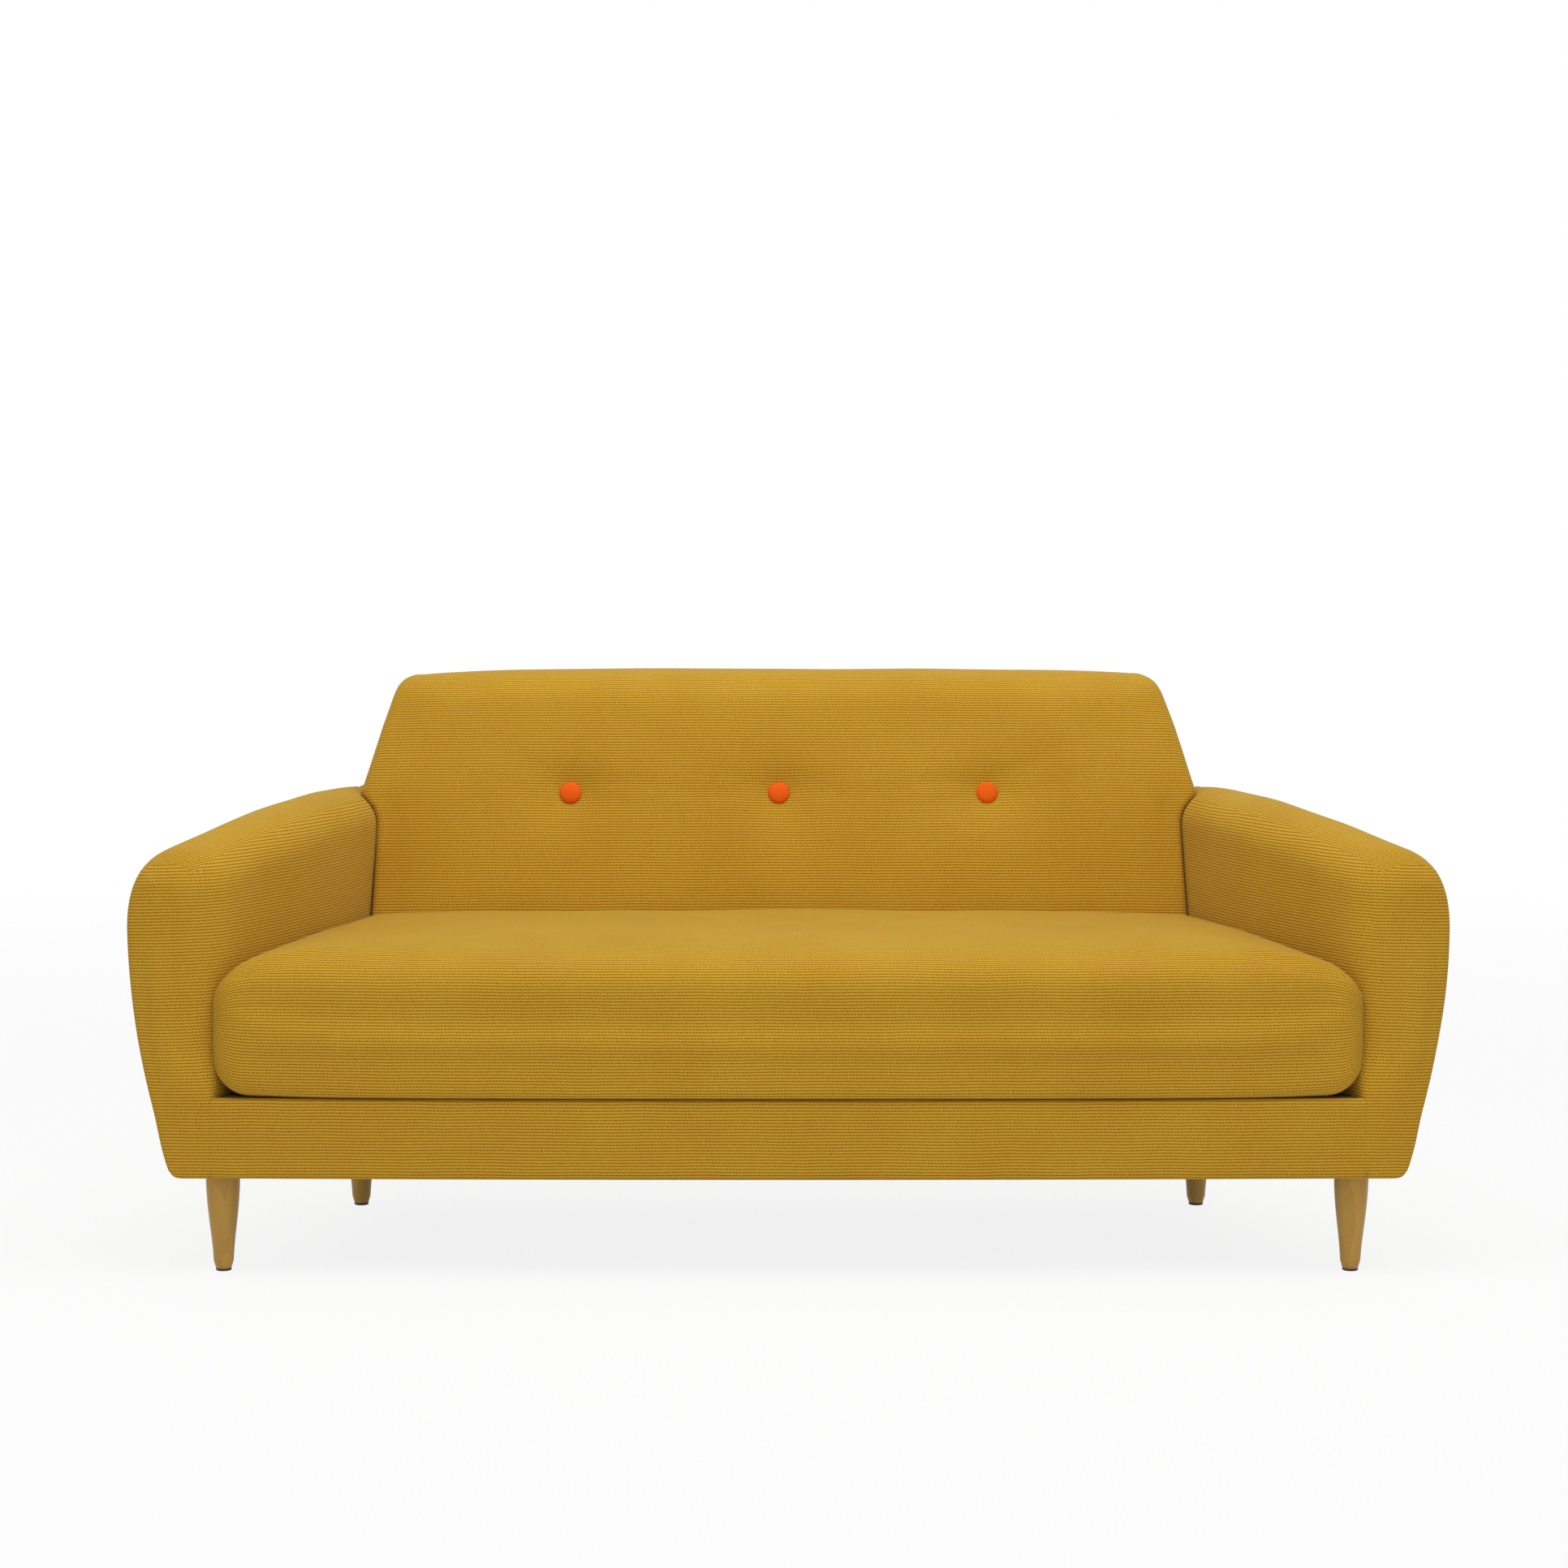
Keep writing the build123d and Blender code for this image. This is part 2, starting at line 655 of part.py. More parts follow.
with BuildPart() as back_pad:
    # side profile, with a round top edge
    with BuildSketch(Plane.YZ.offset(-back_shoulder_half)):
        with BuildLine():
            low = deck_z - cushion_gap
            top = overall_height + back_edge_radius
            Polyline(
                (back_inner_y(low), low),
                (back_inner_y(top), top),
                (back_outer_y(top) - outside_back_sheet, top),
                (back_outer_y(low) - outside_back_sheet, low),
                close=True,
            )
        make_face()
    extrude(amount=2 * back_shoulder_half)
    # front outline: upright beside the arms, then a tapered crest with a crowned top
    with BuildSketch(Plane.XZ.offset(-rear_y)):
        with BuildLine():
            crest_z = overall_height - back_top_crown
            crest = ThreePointArc((back_top_half, crest_z), (0, overall_height), (-back_top_half, crest_z))
            Polyline(
                crest @ 1,
                (-back_shoulder_half, back_shoulder_z),
                (-back_shoulder_half, low),
                (back_shoulder_half, low),
                (back_shoulder_half, back_shoulder_z),
                crest @ 0,
            )
        make_face()
    extrude(amount=2 * rear_y, mode=Mode.INTERSECT)
    crest_face = back_pad.faces().sort_by(Axis.Z)[-1]
    fillet(crest_face.edges().sort_by(SortBy.LENGTH)[-2:], back_edge_radius)
    add(arm_clearance.part, mode=Mode.SUBTRACT)
    add(right_arm_clearance, mode=Mode.SUBTRACT)
    # hollow for the back's frame, open behind and below
    with BuildSketch(Plane.YZ.offset(-back_top_half + back_side_foam)):
        with BuildLine():
            floor_z = low - board
            roof_z = overall_height - back_top_foam
            Polyline(
                (back_inner_y(floor_z) + back_foam, floor_z),
                (back_inner_y(roof_z) + back_foam, roof_z),
                (back_outer_y(roof_z) + board, roof_z),
                (back_outer_y(floor_z) + board, floor_z),
                close=True,
            )
        make_face()
    extrude(amount=2 * (back_top_half - back_side_foam), mode=Mode.SUBTRACT)
    # a round dimple and a needle hole for each button
    dimple_sphere = (dimple_radius**2 + dimple_depth**2) / (2 * dimple_depth)
    with Locations(back_tilt.offset(dimple_sphere - dimple_depth)):
        with GridLocations(button_spacing, 0, 3, 1):
            Sphere(dimple_sphere, mode=Mode.SUBTRACT)
    with Locations(back_tilt):
        with GridLocations(button_spacing, 0, 3, 1):
            Cylinder(twine_diameter / 2 + needle_play, 3 * back_foam, mode=Mode.SUBTRACT)

with BuildPart() as outside_back:
    # the sheet closes the back and both arms behind, to the outline that they make together
    loft([arm_section(y) for y in stations])
    mirror(about=Plane.YZ)
    with BuildSketch(Plane.XZ.offset(-rear_y)):
        with BuildLine():
            crest_z = overall_height - back_top_crown - back_edge_radius
            crest = ThreePointArc(
                (back_top_half, crest_z), (0, crest_z + back_top_crown), (-back_top_half, crest_z)
            )
            Polyline(
                crest @ 1,
                (-back_shoulder_half, back_shoulder_z),
                (-back_shoulder_half, base_z),
                (back_shoulder_half, base_z),
                (back_shoulder_half, back_shoulder_z),
                crest @ 0,
            )
        make_face()
    extrude(amount=2 * rear_y)
    add(raked_box(outside_back_sheet - fit), mode=Mode.INTERSECT)


def seat_outline(margin, y_front, bow, y_rear):
    """Plan of the seat between the arms, with a bowed front."""
    ends = [(side * (arm_inner_x(y_front) - margin), y_front) for side in (-1, 1)]
    face = ThreePointArc(ends[0], (0, y_front - bow), ends[1]) if bow else Line(*ends)
    middle = (y_front + y_rear) / 2
    left, right = [
        ThreePointArc(*[(side * (arm_inner_x(y) - margin), y) for y in (y_front, middle, y_rear)])
        for side in (1, -1)
    ]
    Line(left @ 1, right @ 1)


with BuildPart() as front_border:
    # bowed front panel of the base, between the noses of the arms
    with BuildSketch(Plane.XY.offset(base_z)):
        with BuildLine():
            seat_outline(fit, arm_front_y, border_bow, frame_front_y - fit)
        make_face()
    extrude(amount=deck_z - seat_gap - base_z)

deck_bottom = web_plane_z + web_rise + web_thick / 2 + slip

with BuildPart() as seat_deck:
    with BuildSketch(Plane.XY.offset(deck_bottom)):
        with BuildLine():
            seat_outline(fit, frame_front_y, 0, back_inner_y(deck_z) - fit)
        make_face()
    extrude(amount=deck_z - deck_bottom)

with BuildPart() as dust_cover:
    with BuildSketch(Plane.XY.offset(rail_z - cloth - hair)):
        with BuildLine():
            seat_outline(-rail_outset + fit, frame_front_y, 0, rear_rail_y)
        make_face()
        with Locations(*leg_points):
            Circle(leg_top_diameter / 2 + leg_hole_play, mode=Mode.SUBTRACT)
    extrude(amount=cloth)


# ---- the loose seat cushion -----------------------------------------------------------------------
cushion_bottom = deck_z + seat_gap
cushion_front_radius = 45
cushion_rear_z = seat_back_z - cushion_gap
with BuildPart() as seat_cushion:
    with BuildSketch(Plane.YZ.offset(-seat_half_front)):
        with BuildLine():
            rear_low = (back_inner_y(cushion_bottom) - cushion_gap, cushion_bottom)
            rear_high = (back_inner_y(cushion_rear_z) - cushion_gap, cushion_rear_z)
            front_low = (front_y, cushion_bottom)
            front_high = (front_y, cushion_front_z)
            crown_z = (cushion_front_z + cushion_rear_z + cushion_crown) / 2
            crown_mid = ((front_y + seat_back_y) / 2, crown_z)
            Polyline(front_high, front_low, rear_low, rear_high)
            ThreePointArc(rear_high, crown_mid, front_high)
        make_face()
    extrude(amount=2 * seat_half_front)
    with BuildSketch(Plane.XY.offset(base_z)):
        with BuildLine():
            rear_reach = back_inner_y(cushion_rear_z) + cushion_gap
            seat_outline(cushion_gap, front_y + cushion_bow, cushion_bow, rear_reach)
        make_face()
    extrude(amount=overall_height, mode=Mode.INTERSECT)
    front_edges = seat_cushion.faces().sort_by(Axis.Y)[0].edges()
    fillet(front_edges.sort_by(Axis.Z)[-1], cushion_front_radius)
    # a pocket across the rear face hides the zip
    zip_z = (cushion_bottom + cushion_rear_z) / 2
    zip_plane = Plane(
        origin=(0, back_inner_y(zip_z) - cushion_gap, zip_z),
        x_dir=(-1, 0, 0),
        z_dir=(0, cos(radians(back_recline)), -sin(radians(back_recline))),
    )
    with BuildSketch(zip_plane):
        Rectangle(zip_length + 2 * zip_tape_width, zip_tape_width + zip_pocket_play)
    extrude(amount=-zip_pocket_depth, mode=Mode.SUBTRACT)

tape_plane = zip_plane.offset(hair - zip_pocket_depth)
chain_plane = tape_plane.offset(cloth)
with BuildPart() as cushion_zip:
    with BuildSketch(tape_plane):
        Rectangle(zip_length + zip_tape_width, zip_tape_width)
    extrude(amount=cloth)
    with BuildSketch(chain_plane):
        Rectangle(zip_length, zip_chain_width)
    extrude(amount=zip_chain_height)

with BuildPart() as zip_slider:
    with BuildSketch(chain_plane.offset(fit)):
        with Locations((-zip_length / 2 + zip_slider_length, 0)):
            Trapezoid(zip_slider_length, zip_slider_width, zip_slider_slant)
    extrude(amount=zip_chain_height + zip_slider_rise)
    with BuildSketch(chain_plane):
        Rectangle(2 * zip_length, zip_chain_width + 2 * fit)
    extrude(amount=zip_chain_height + fit, mode=Mode.SUBTRACT)


# ---- buttons and their ties -----------------------------------------------------------------------
def covered_button(x):
    """A domed, cloth-covered button that sits in the bottom of its dimple."""
    rim_rise = dimple_sphere - (dimple_sphere**2 - button_diameter**2 / 4) ** 0.5
    seat = back_tilt.offset(-dimple_depth + rim_rise + fit / 2)
    with BuildPart() as button:
        with Locations(seat):
            with Locations((x, 0, 0)):
                Cylinder(
                    button_diameter / 2, button_height, align=(Align.CENTER, Align.CENTER, Align.MIN)
                )
        fillet(button.edges().filter_by(GeomType.CIRCLE).sort_by(Axis.Y)[0], button_round)
    return button.part


with BuildPart() as button_twine:
    with Locations(back_tilt.offset(-dimple_depth + fit / 2)):
        with GridLocations(button_spacing, 0, 3, 1):
            Cylinder(
                twine_diameter / 2,
                back_web_depth - dimple_depth + toggle_gap,
                align=(Align.CENTER, Align.CENTER, Align.MAX),
            )

with BuildPart() as button_toggles:
    with Locations(back_tilt.offset(-back_web_depth - toggle_gap - toggle_diameter / 2)):
        with GridLocations(button_spacing, 0, 3, 1):
            Cylinder(toggle_diameter / 2, toggle_length, rotation=(0, 90, 0))


# ---- names and files ------------------------------------------------------------------------------
def save(part, name):
    """Labels a finished piece and writes it to its own file."""
    part.label = name
    export_step(part, f"parts/{name}.step")


single = {
    "front_rail": front_rail,
    "rear_rail": rear_rail,
    "deck_rear_rail": deck_rear_rail,
    "corner_blocks": corner_blocks,
    "tee_nuts": tee_nuts,
    "hanger_bolts": hanger_bolts,
    "foot_glides": foot_glides,
    "back_top_rail": back_top_rail,
    "back_tack_rails": back_tack_rails,
    "seat_webbing_long": seat_webbing_long,
    "seat_webbing_cross": seat_webbing_cross,
    "back_webbing": back_webbing,
    "back_pad": back_pad,
    "outside_back": outside_back,
    "front_border": front_border,
    "seat_deck": seat_deck,
    "dust_cover": dust_cover,
    "seat_cushion": seat_cushion,
    "cushion_zip": cushion_zip,
    "zip_slider": zip_slider,
    "button_twine": button_twine,
    "button_toggles": button_toggles,
}
for name, built in single.items():
    save(built.part, name)

# Each of these is made for the sitter's left and mirrored for the right.
paired = {
    "side_rail": side_rail,
    "cross_rail": cross_rail,
    "arm_front_post": arm_front_post,
    "arm_rear_post": arm_rear_post,
    "arm_top_rail": arm_top_rail,
    "arm_panel": arm_panel,
    "back_post": back_post,
    "back_upright": back_upright,
    "arm_pad": arm_pad,
}
for name, built in paired.items():
    save(built.part, f"{name}_left")
    save(mirror(built.part, about=Plane.YZ), f"{name}_right")

for x, y, end, side in legs_at:
    save(turned_leg(x, y), f"leg_{end}_{side}")

for k, side in ((-1, "right"), (0, "middle"), (1, "left")):
    save(covered_button(k * button_spacing), f"button_{side}")
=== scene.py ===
"""A compact sofa: one loose bench cushion between flared arms, a buttoned back and four turned legs.

The sections follow the sofa as it is built, from the timber frame out to the covers and the cushion.
"""

import math

import bmesh
import bpy
import numpy as np
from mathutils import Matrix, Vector, noise


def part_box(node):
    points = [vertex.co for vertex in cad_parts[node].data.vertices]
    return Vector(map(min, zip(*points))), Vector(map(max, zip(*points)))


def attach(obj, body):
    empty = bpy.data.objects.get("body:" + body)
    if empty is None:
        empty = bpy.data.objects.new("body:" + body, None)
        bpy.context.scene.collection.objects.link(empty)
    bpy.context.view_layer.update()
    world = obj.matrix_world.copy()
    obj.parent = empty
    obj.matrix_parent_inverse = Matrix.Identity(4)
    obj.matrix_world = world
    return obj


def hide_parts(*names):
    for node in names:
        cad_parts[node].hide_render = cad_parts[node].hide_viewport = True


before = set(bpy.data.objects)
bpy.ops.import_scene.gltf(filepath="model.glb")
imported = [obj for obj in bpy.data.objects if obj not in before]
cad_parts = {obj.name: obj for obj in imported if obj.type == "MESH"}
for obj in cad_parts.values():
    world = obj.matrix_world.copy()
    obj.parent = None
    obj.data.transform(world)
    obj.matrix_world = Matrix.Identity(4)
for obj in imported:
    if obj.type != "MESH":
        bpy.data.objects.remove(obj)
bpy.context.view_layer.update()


# ---- The timber frame ----------------------------------------------------------------------------
# Planed pine rails, posts and blocks, glued and stapled at their joints, with hardboard inside the
# arms. The boards' grain runs along each piece, so the timber is made once for each direction.


class Socket:
    """One output of a node, which is added to and multiplied as a number is."""

    def __init__(self, work, socket):
        self.work = work
        self.socket = socket

    def sum(self, operation, first, second):
        return self.work.node("ShaderNodeMath", {"operation": operation}, {0: first, 1: second})

    def __add__(self, other):
        return self.sum("ADD", self, other)

    def __radd__(self, other):
        return self.sum("ADD", other, self)

    def __sub__(self, other):
        return self.sum("SUBTRACT", self, other)

    def __rsub__(self, other):
        return self.sum("SUBTRACT", other, self)

    def __mul__(self, other):
        return self.sum("MULTIPLY", self, other)

    def __rmul__(self, other):
        return self.sum("MULTIPLY", other, self)

    def __truediv__(self, other):
        return self.sum("DIVIDE", self, other)

    def __rtruediv__(self, other):
        return self.sum("DIVIDE", other, self)

    def __pow__(self, other):
        return self.sum("POWER", self, other)

    def __rpow__(self, other):
        return self.sum("POWER", other, self)


class NodeWork:
    """A tree of nodes, each made from its type, its settings and what goes into its sockets."""

    def __init__(self, tree):
        self.tree = tree

    def node(self, kind, settings=None, sockets=None, out=0):
        made = self.tree.nodes.new(kind)
        for name, value in (settings or {}).items():
            setattr(made, name, value)
        for key, value in (sockets or {}).items():
            self.join(value, made.inputs[key])
        return Socket(self, made.outputs[out])

    def join(self, value, socket):
        if isinstance(value, Socket):
            self.tree.links.new(value.socket, socket)
        else:
            socket.default_value = value

    def function(self, operation, value, other=0.0):
        return self.node("ShaderNodeMath", {"operation": operation}, {0: value, 1: other})


class Finish(NodeWork):
    """A material: one shader, its fixed values, and the nodes that vary it over the surface."""

    def __init__(self, name, **fixed):
        self.material = bpy.data.materials.new(name)
        self.material.use_nodes = True
        super().__init__(self.material.node_tree)
        self.shader = self.tree.nodes["Principled BSDF"]
        self.feed(**fixed)

    def feed(self, **values):
        for name, value in values.items():
            self.join(value, self.shader.inputs[name.replace("_", " ")])

    def place(self, scale=(1, 1, 1)):
        where = self.node("ShaderNodeTexCoord", out=3)
        return self.node("ShaderNodeMapping", None, {"Vector": where, "Scale": scale})

    def coordinate(self, where, axis):
        return self.node("ShaderNodeSeparateXYZ", None, {0: where}, out=axis)

    def cloudiness(self, where, scale, detail=2.0):
        return self.node("ShaderNodeTexNoise", None, {"Vector": where, "Scale": scale, "Detail": detail})

    def streaks(self, across, along, axis, detail=2.0):
        """Cloudiness drawn out along one axis, with these scales across and along it."""
        scale = [across, across, across]
        scale[axis] = along
        return self.cloudiness(self.place(scale), 1.0, detail)

    def mix(self, share, first, second):
        return self.node("ShaderNodeMix", {"data_type": "RGBA"}, {0: share, 6: first, 7: second}, out=2)

    def raise_surface(self, height, depth, strength=1.0):
        bump = {"Height": height, "Distance": depth, "Strength": strength}
        self.feed(Normal=self.node("ShaderNodeBump", None, bump))


def colour(red, green, blue):
    """The shader's colour for one given as it is seen on a screen, from 0 to 255."""
    shares = [part / 255 for part in (red, green, blue)]
    return [s / 12.92 if s <= 0.04045 else ((s + 0.055) / 1.055) ** 2.4 for s in shares] + [1.0]


def timber(name, along, pale, dark):
    """Planed softwood with its grain along one axis: 0 is across the sofa, 1 front to back, 2 upright."""
    finish = Finish(name, Roughness=0.62, Specular_IOR_Level=0.35)
    late_wood = finish.function("FRACT", finish.streaks(26.0, 1.6, along, 3.0) * 9.0) ** 2.5
    pores = finish.streaks(900.0, 14.0, along)
    finish.feed(Base_Color=finish.mix(late_wood * 0.75 + pores * 0.2, pale, dark))
    finish.feed(Roughness=0.55 + pores * 0.2)
    finish.raise_surface(pores * 0.5 - late_wood * 0.5, 0.0003, 0.6)
    return finish.material


def dress(material, *names):
    """Gives pieces of the frame their finish."""
    for name in names:
        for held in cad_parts[name].material_slots:
            held.material = material


pine_pale = colour(214, 182, 134)
pine_dark = colour(172, 126, 76)
pine_across = timber("Pine boards across", 0, pine_pale, pine_dark)
pine_deep = timber("Pine boards front to back", 1, pine_pale, pine_dark)
pine_upright = timber("Pine boards upright", 2, pine_pale, pine_dark)
sides = ("left", "right")
dress(pine_across, "front_rail", "rear_rail", "deck_rear_rail", "back_top_rail", "back_tack_rails")
dress(pine_across, "corner_blocks")
for side in sides:
    dress(pine_deep, f"side_rail_{side}", f"cross_rail_{side}", f"arm_top_rail_{side}")
    dress(pine_upright, f"arm_front_post_{side}", f"arm_rear_post_{side}")
    dress(pine_upright, f"back_post_{side}", f"back_upright_{side}")

hardboard = Finish("Tempered hardboard", Specular_IOR_Level=0.3)
fibres = hardboard.streaks(420.0, 90.0, 1, 5.0)
specks = hardboard.cloudiness(hardboard.place(), 900.0)
hardboard.feed(Base_Color=hardboard.mix(fibres, colour(104, 70, 44), colour(142, 100, 66)))
hardboard.feed(Roughness=0.5 + specks * 0.3)
hardboard.raise_surface(fibres, 0.0002, 0.5)
dress(hardboard.material, "arm_panel_left", "arm_panel_right")


# ---- Tee nuts and hanger bolts -------------------------------------------------------------------
# A zinc-plated hanger bolt stands in each leg, and turns into a pronged tee nut that is pressed into
# the corner block. Zinc dulls in patches where it has been handled.

zinc = Finish("Zinc-plated steel", Metallic=1.0)
dulled = zinc.cloudiness(zinc.place(), 140.0, 4.0)
zinc.feed(Base_Color=zinc.mix(dulled, colour(176, 178, 176), colour(206, 206, 198)))
zinc.feed(Roughness=0.28 + dulled * 0.25)
zinc.raise_surface(zinc.cloudiness(zinc.place(), 1400.0), 0.00005, 0.5)
dress(zinc.material, "tee_nuts", "hanger_bolts")


# ---- Webbing -------------------------------------------------------------------------------------
# Interlaced jute straps carry the seat, and a row of them backs the pad. They are stretched and
# stapled to the rails. Their warp yarns run in fine ribs along each strap.


def jute(name, along):
    finish = Finish(name, Roughness=0.9, Specular_IOR_Level=0.15)
    run = finish.function("SINE", finish.coordinate(finish.place(), along) * 1900.0)
    ribs = finish.streaks(520.0, 12.0, along)
    hairs = finish.cloudiness(finish.place(), 1100.0, 4.0)
    finish.feed(Base_Color=finish.mix(ribs * 0.7 + hairs * 0.3, colour(132, 101, 62), colour(190, 160, 112)))
    finish.feed(Roughness=0.8 + hairs * 0.2)
    finish.raise_surface(ribs + run * 0.3 + hairs * 0.3, 0.0005, 0.8)
    return finish.material


dress(jute("Jute straps across", 0), "seat_webbing_cross")
dress(jute("Jute straps front to back", 1), "seat_webbing_long")
dress(jute("Jute straps in the back", 2), "back_webbing")


# ---- Seat deck -----------------------------------------------------------------------------------
# Cotton felt under a brown lining cloth, drawn over the webbing and tacked round the rails. It gives
# a little between the straps, and only shows when the cushion is lifted out.

front_y = -0.357
rear_y = 0.140
back_foot = 0.630
arm_splay, arm_flare = 0.21, 0.2778


def arm_inside(y):
    """How far from the middle of the sofa an arm's upright inside face stands at y."""
    return back_foot + arm_splay * (rear_y - y) + arm_flare * (rear_y - y) ** 2


def mesh_piece(name, points, faces, material, body, weave=()):
    """A closed piece of a mesh, with its faces turned out, that rides on one body.

    weave is where the corners of each face lie on flat cloth, in metres.
    """
    mesh = bpy.data.meshes.new(name)
    mesh.from_pydata([tuple(map(float, p)) for p in points], [], faces)
    if weave:
        threads = mesh.uv_layers.new(name="Weave")
        for face, corners in zip(mesh.polygons, weave):
            for loop, value in zip(face.loop_indices, corners):
                threads.data[loop].uv = value
    work = bmesh.new()
    work.from_mesh(mesh)
    bmesh.ops.remove_doubles(work, verts=work.verts, dist=1e-6)
    bmesh.ops.recalc_face_normals(work, faces=work.faces)
    work.to_mesh(mesh)
    work.free()
    mesh.shade_smooth()
    mesh.materials.append(material)
    piece = bpy.data.objects.new(name, mesh)
    bpy.context.scene.collection.objects.link(piece)
    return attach(piece, body)


def sheet_grid(across, along, place):
    """Points and faces of a sheet: place(u, v) gives a point for shares u and v from 0 to 1."""
    points = [place(i / across, j / along) for j in range(along + 1) for i in range(across + 1)]
    row = across + 1
    faces = [
        (j * row + i, j * row + i + 1, (j + 1) * row + i + 1, (j + 1) * row + i)
        for j in range(along)
        for i in range(across)
    ]
    return points, faces


deck_front, deck_rear = -0.3446, 0.0835
deck_low, deck_high = 0.2447, 0.2498
deck_play = 0.001
deck_give = 0.0012


def deck_point(u, v, top):
    y = deck_front + (deck_rear - deck_front) * v
    reach = arm_inside(y) - deck_play
    edge = min(1.0, 16 * u * (1 - u)) * min(1.0, 16 * v * (1 - v))
    give = deck_give * edge * (math.sin(u * 51) * math.sin(v * 22)) - deck_give * edge
    return (2 * u - 1) * reach, y, deck_high + give if top else deck_low


def two_sheets(across, along, place):
    """Points and faces of a pad: place(u, v, True) on its face and False behind, joined at the edges."""
    points, faces = sheet_grid(across, along, lambda u, v: place(u, v, True))
    below, under = sheet_grid(across, along, lambda u, v: place(u, v, False))
    count, row = len(points), across + 1
    points += below
    faces += [tuple(count + k for k in reversed(face)) for face in under]
    rim = list(range(row)) + [j * row + across for j in range(1, along + 1)]
    rim += [along * row + i for i in range(across - 1, -1, -1)] + [j * row for j in range(along - 1, 0, -1)]
    for k, here in enumerate(rim):
        after = rim[(k + 1) % len(rim)]
        faces.append((here, count + here, count + after, after))
    return points, faces


lining = Finish("Brown lining cloth", Roughness=0.85, Specular_IOR_Level=0.2)
threads_x, threads_y = (
    lining.function("SINE", lining.coordinate(lining.place(), axis) * 5200.0) for axis in (0, 1)
)
lining_tone = lining.cloudiness(lining.place(), 22.0, 4.0)
lining.feed(Base_Color=lining.mix(lining_tone, colour(98, 78, 52), colour(124, 100, 68)))
lining.feed(Roughness=0.8 + lining_tone * 0.15)
lining.raise_surface(threads_x * threads_y, 0.0002, 0.6)

deck = mesh_piece("deck_cloth", *two_sheets(96, 40, deck_point), lining.material, "sofa")
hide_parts("seat_deck")


# ---- Button twine and toggles --------------------------------------------------------------------
# Waxed flax twine from each button's shank through the pad, tied behind the webbing round a plastic
# toggle that spreads the pull.

flax = Finish("Waxed flax twine", Roughness=0.6)
twisted = {0: flax.place(), "Scale": 260.0}
ply = flax.node("ShaderNodeTexWave", {"bands_direction": "DIAGONAL"}, twisted, out=1)
flax.feed(Base_Color=flax.mix(ply, colour(150, 126, 84), colour(202, 180, 136)))
flax.raise_surface(ply, 0.0003)
dress(flax.material, "button_twine")

toggle_plastic = Finish("Moulded toggle plastic", Specular_IOR_Level=0.5)
moulding = toggle_plastic.cloudiness(toggle_plastic.place(), 500.0, 3.0)
toggle_plastic.feed(Base_Color=toggle_plastic.mix(moulding, colour(214, 208, 190), colour(228, 224, 210)))
toggle_plastic.feed(Roughness=0.38 + moulding * 0.15)
toggle_plastic.raise_surface(moulding, 0.00008, 0.5)
dress(toggle_plastic.material, "button_toggles")


# ---- Legs and glides -----------------------------------------------------------------------------
# Four beech legs, turned on a lathe with a slight belly, sanded and oiled. Each one is a profile that
# follows a rule round its own upright axis. A nylon glide with a pin is driven into each foot.

leg_top_z = 0.1415
leg_foot_z = 0.004
leg_sizes = {
    "Foot Z": leg_foot_z,
    "Length": leg_top_z - leg_foot_z,
    "Top Radius": 0.024,
    "Foot Radius": 0.014,
    "Belly": 0.0008,
    "Heel Round": 0.0030,
    "Top Round": 0.0008,
}
front_leg = (0.79215, -0.313)
rear_leg = (0.64591, 0.160)


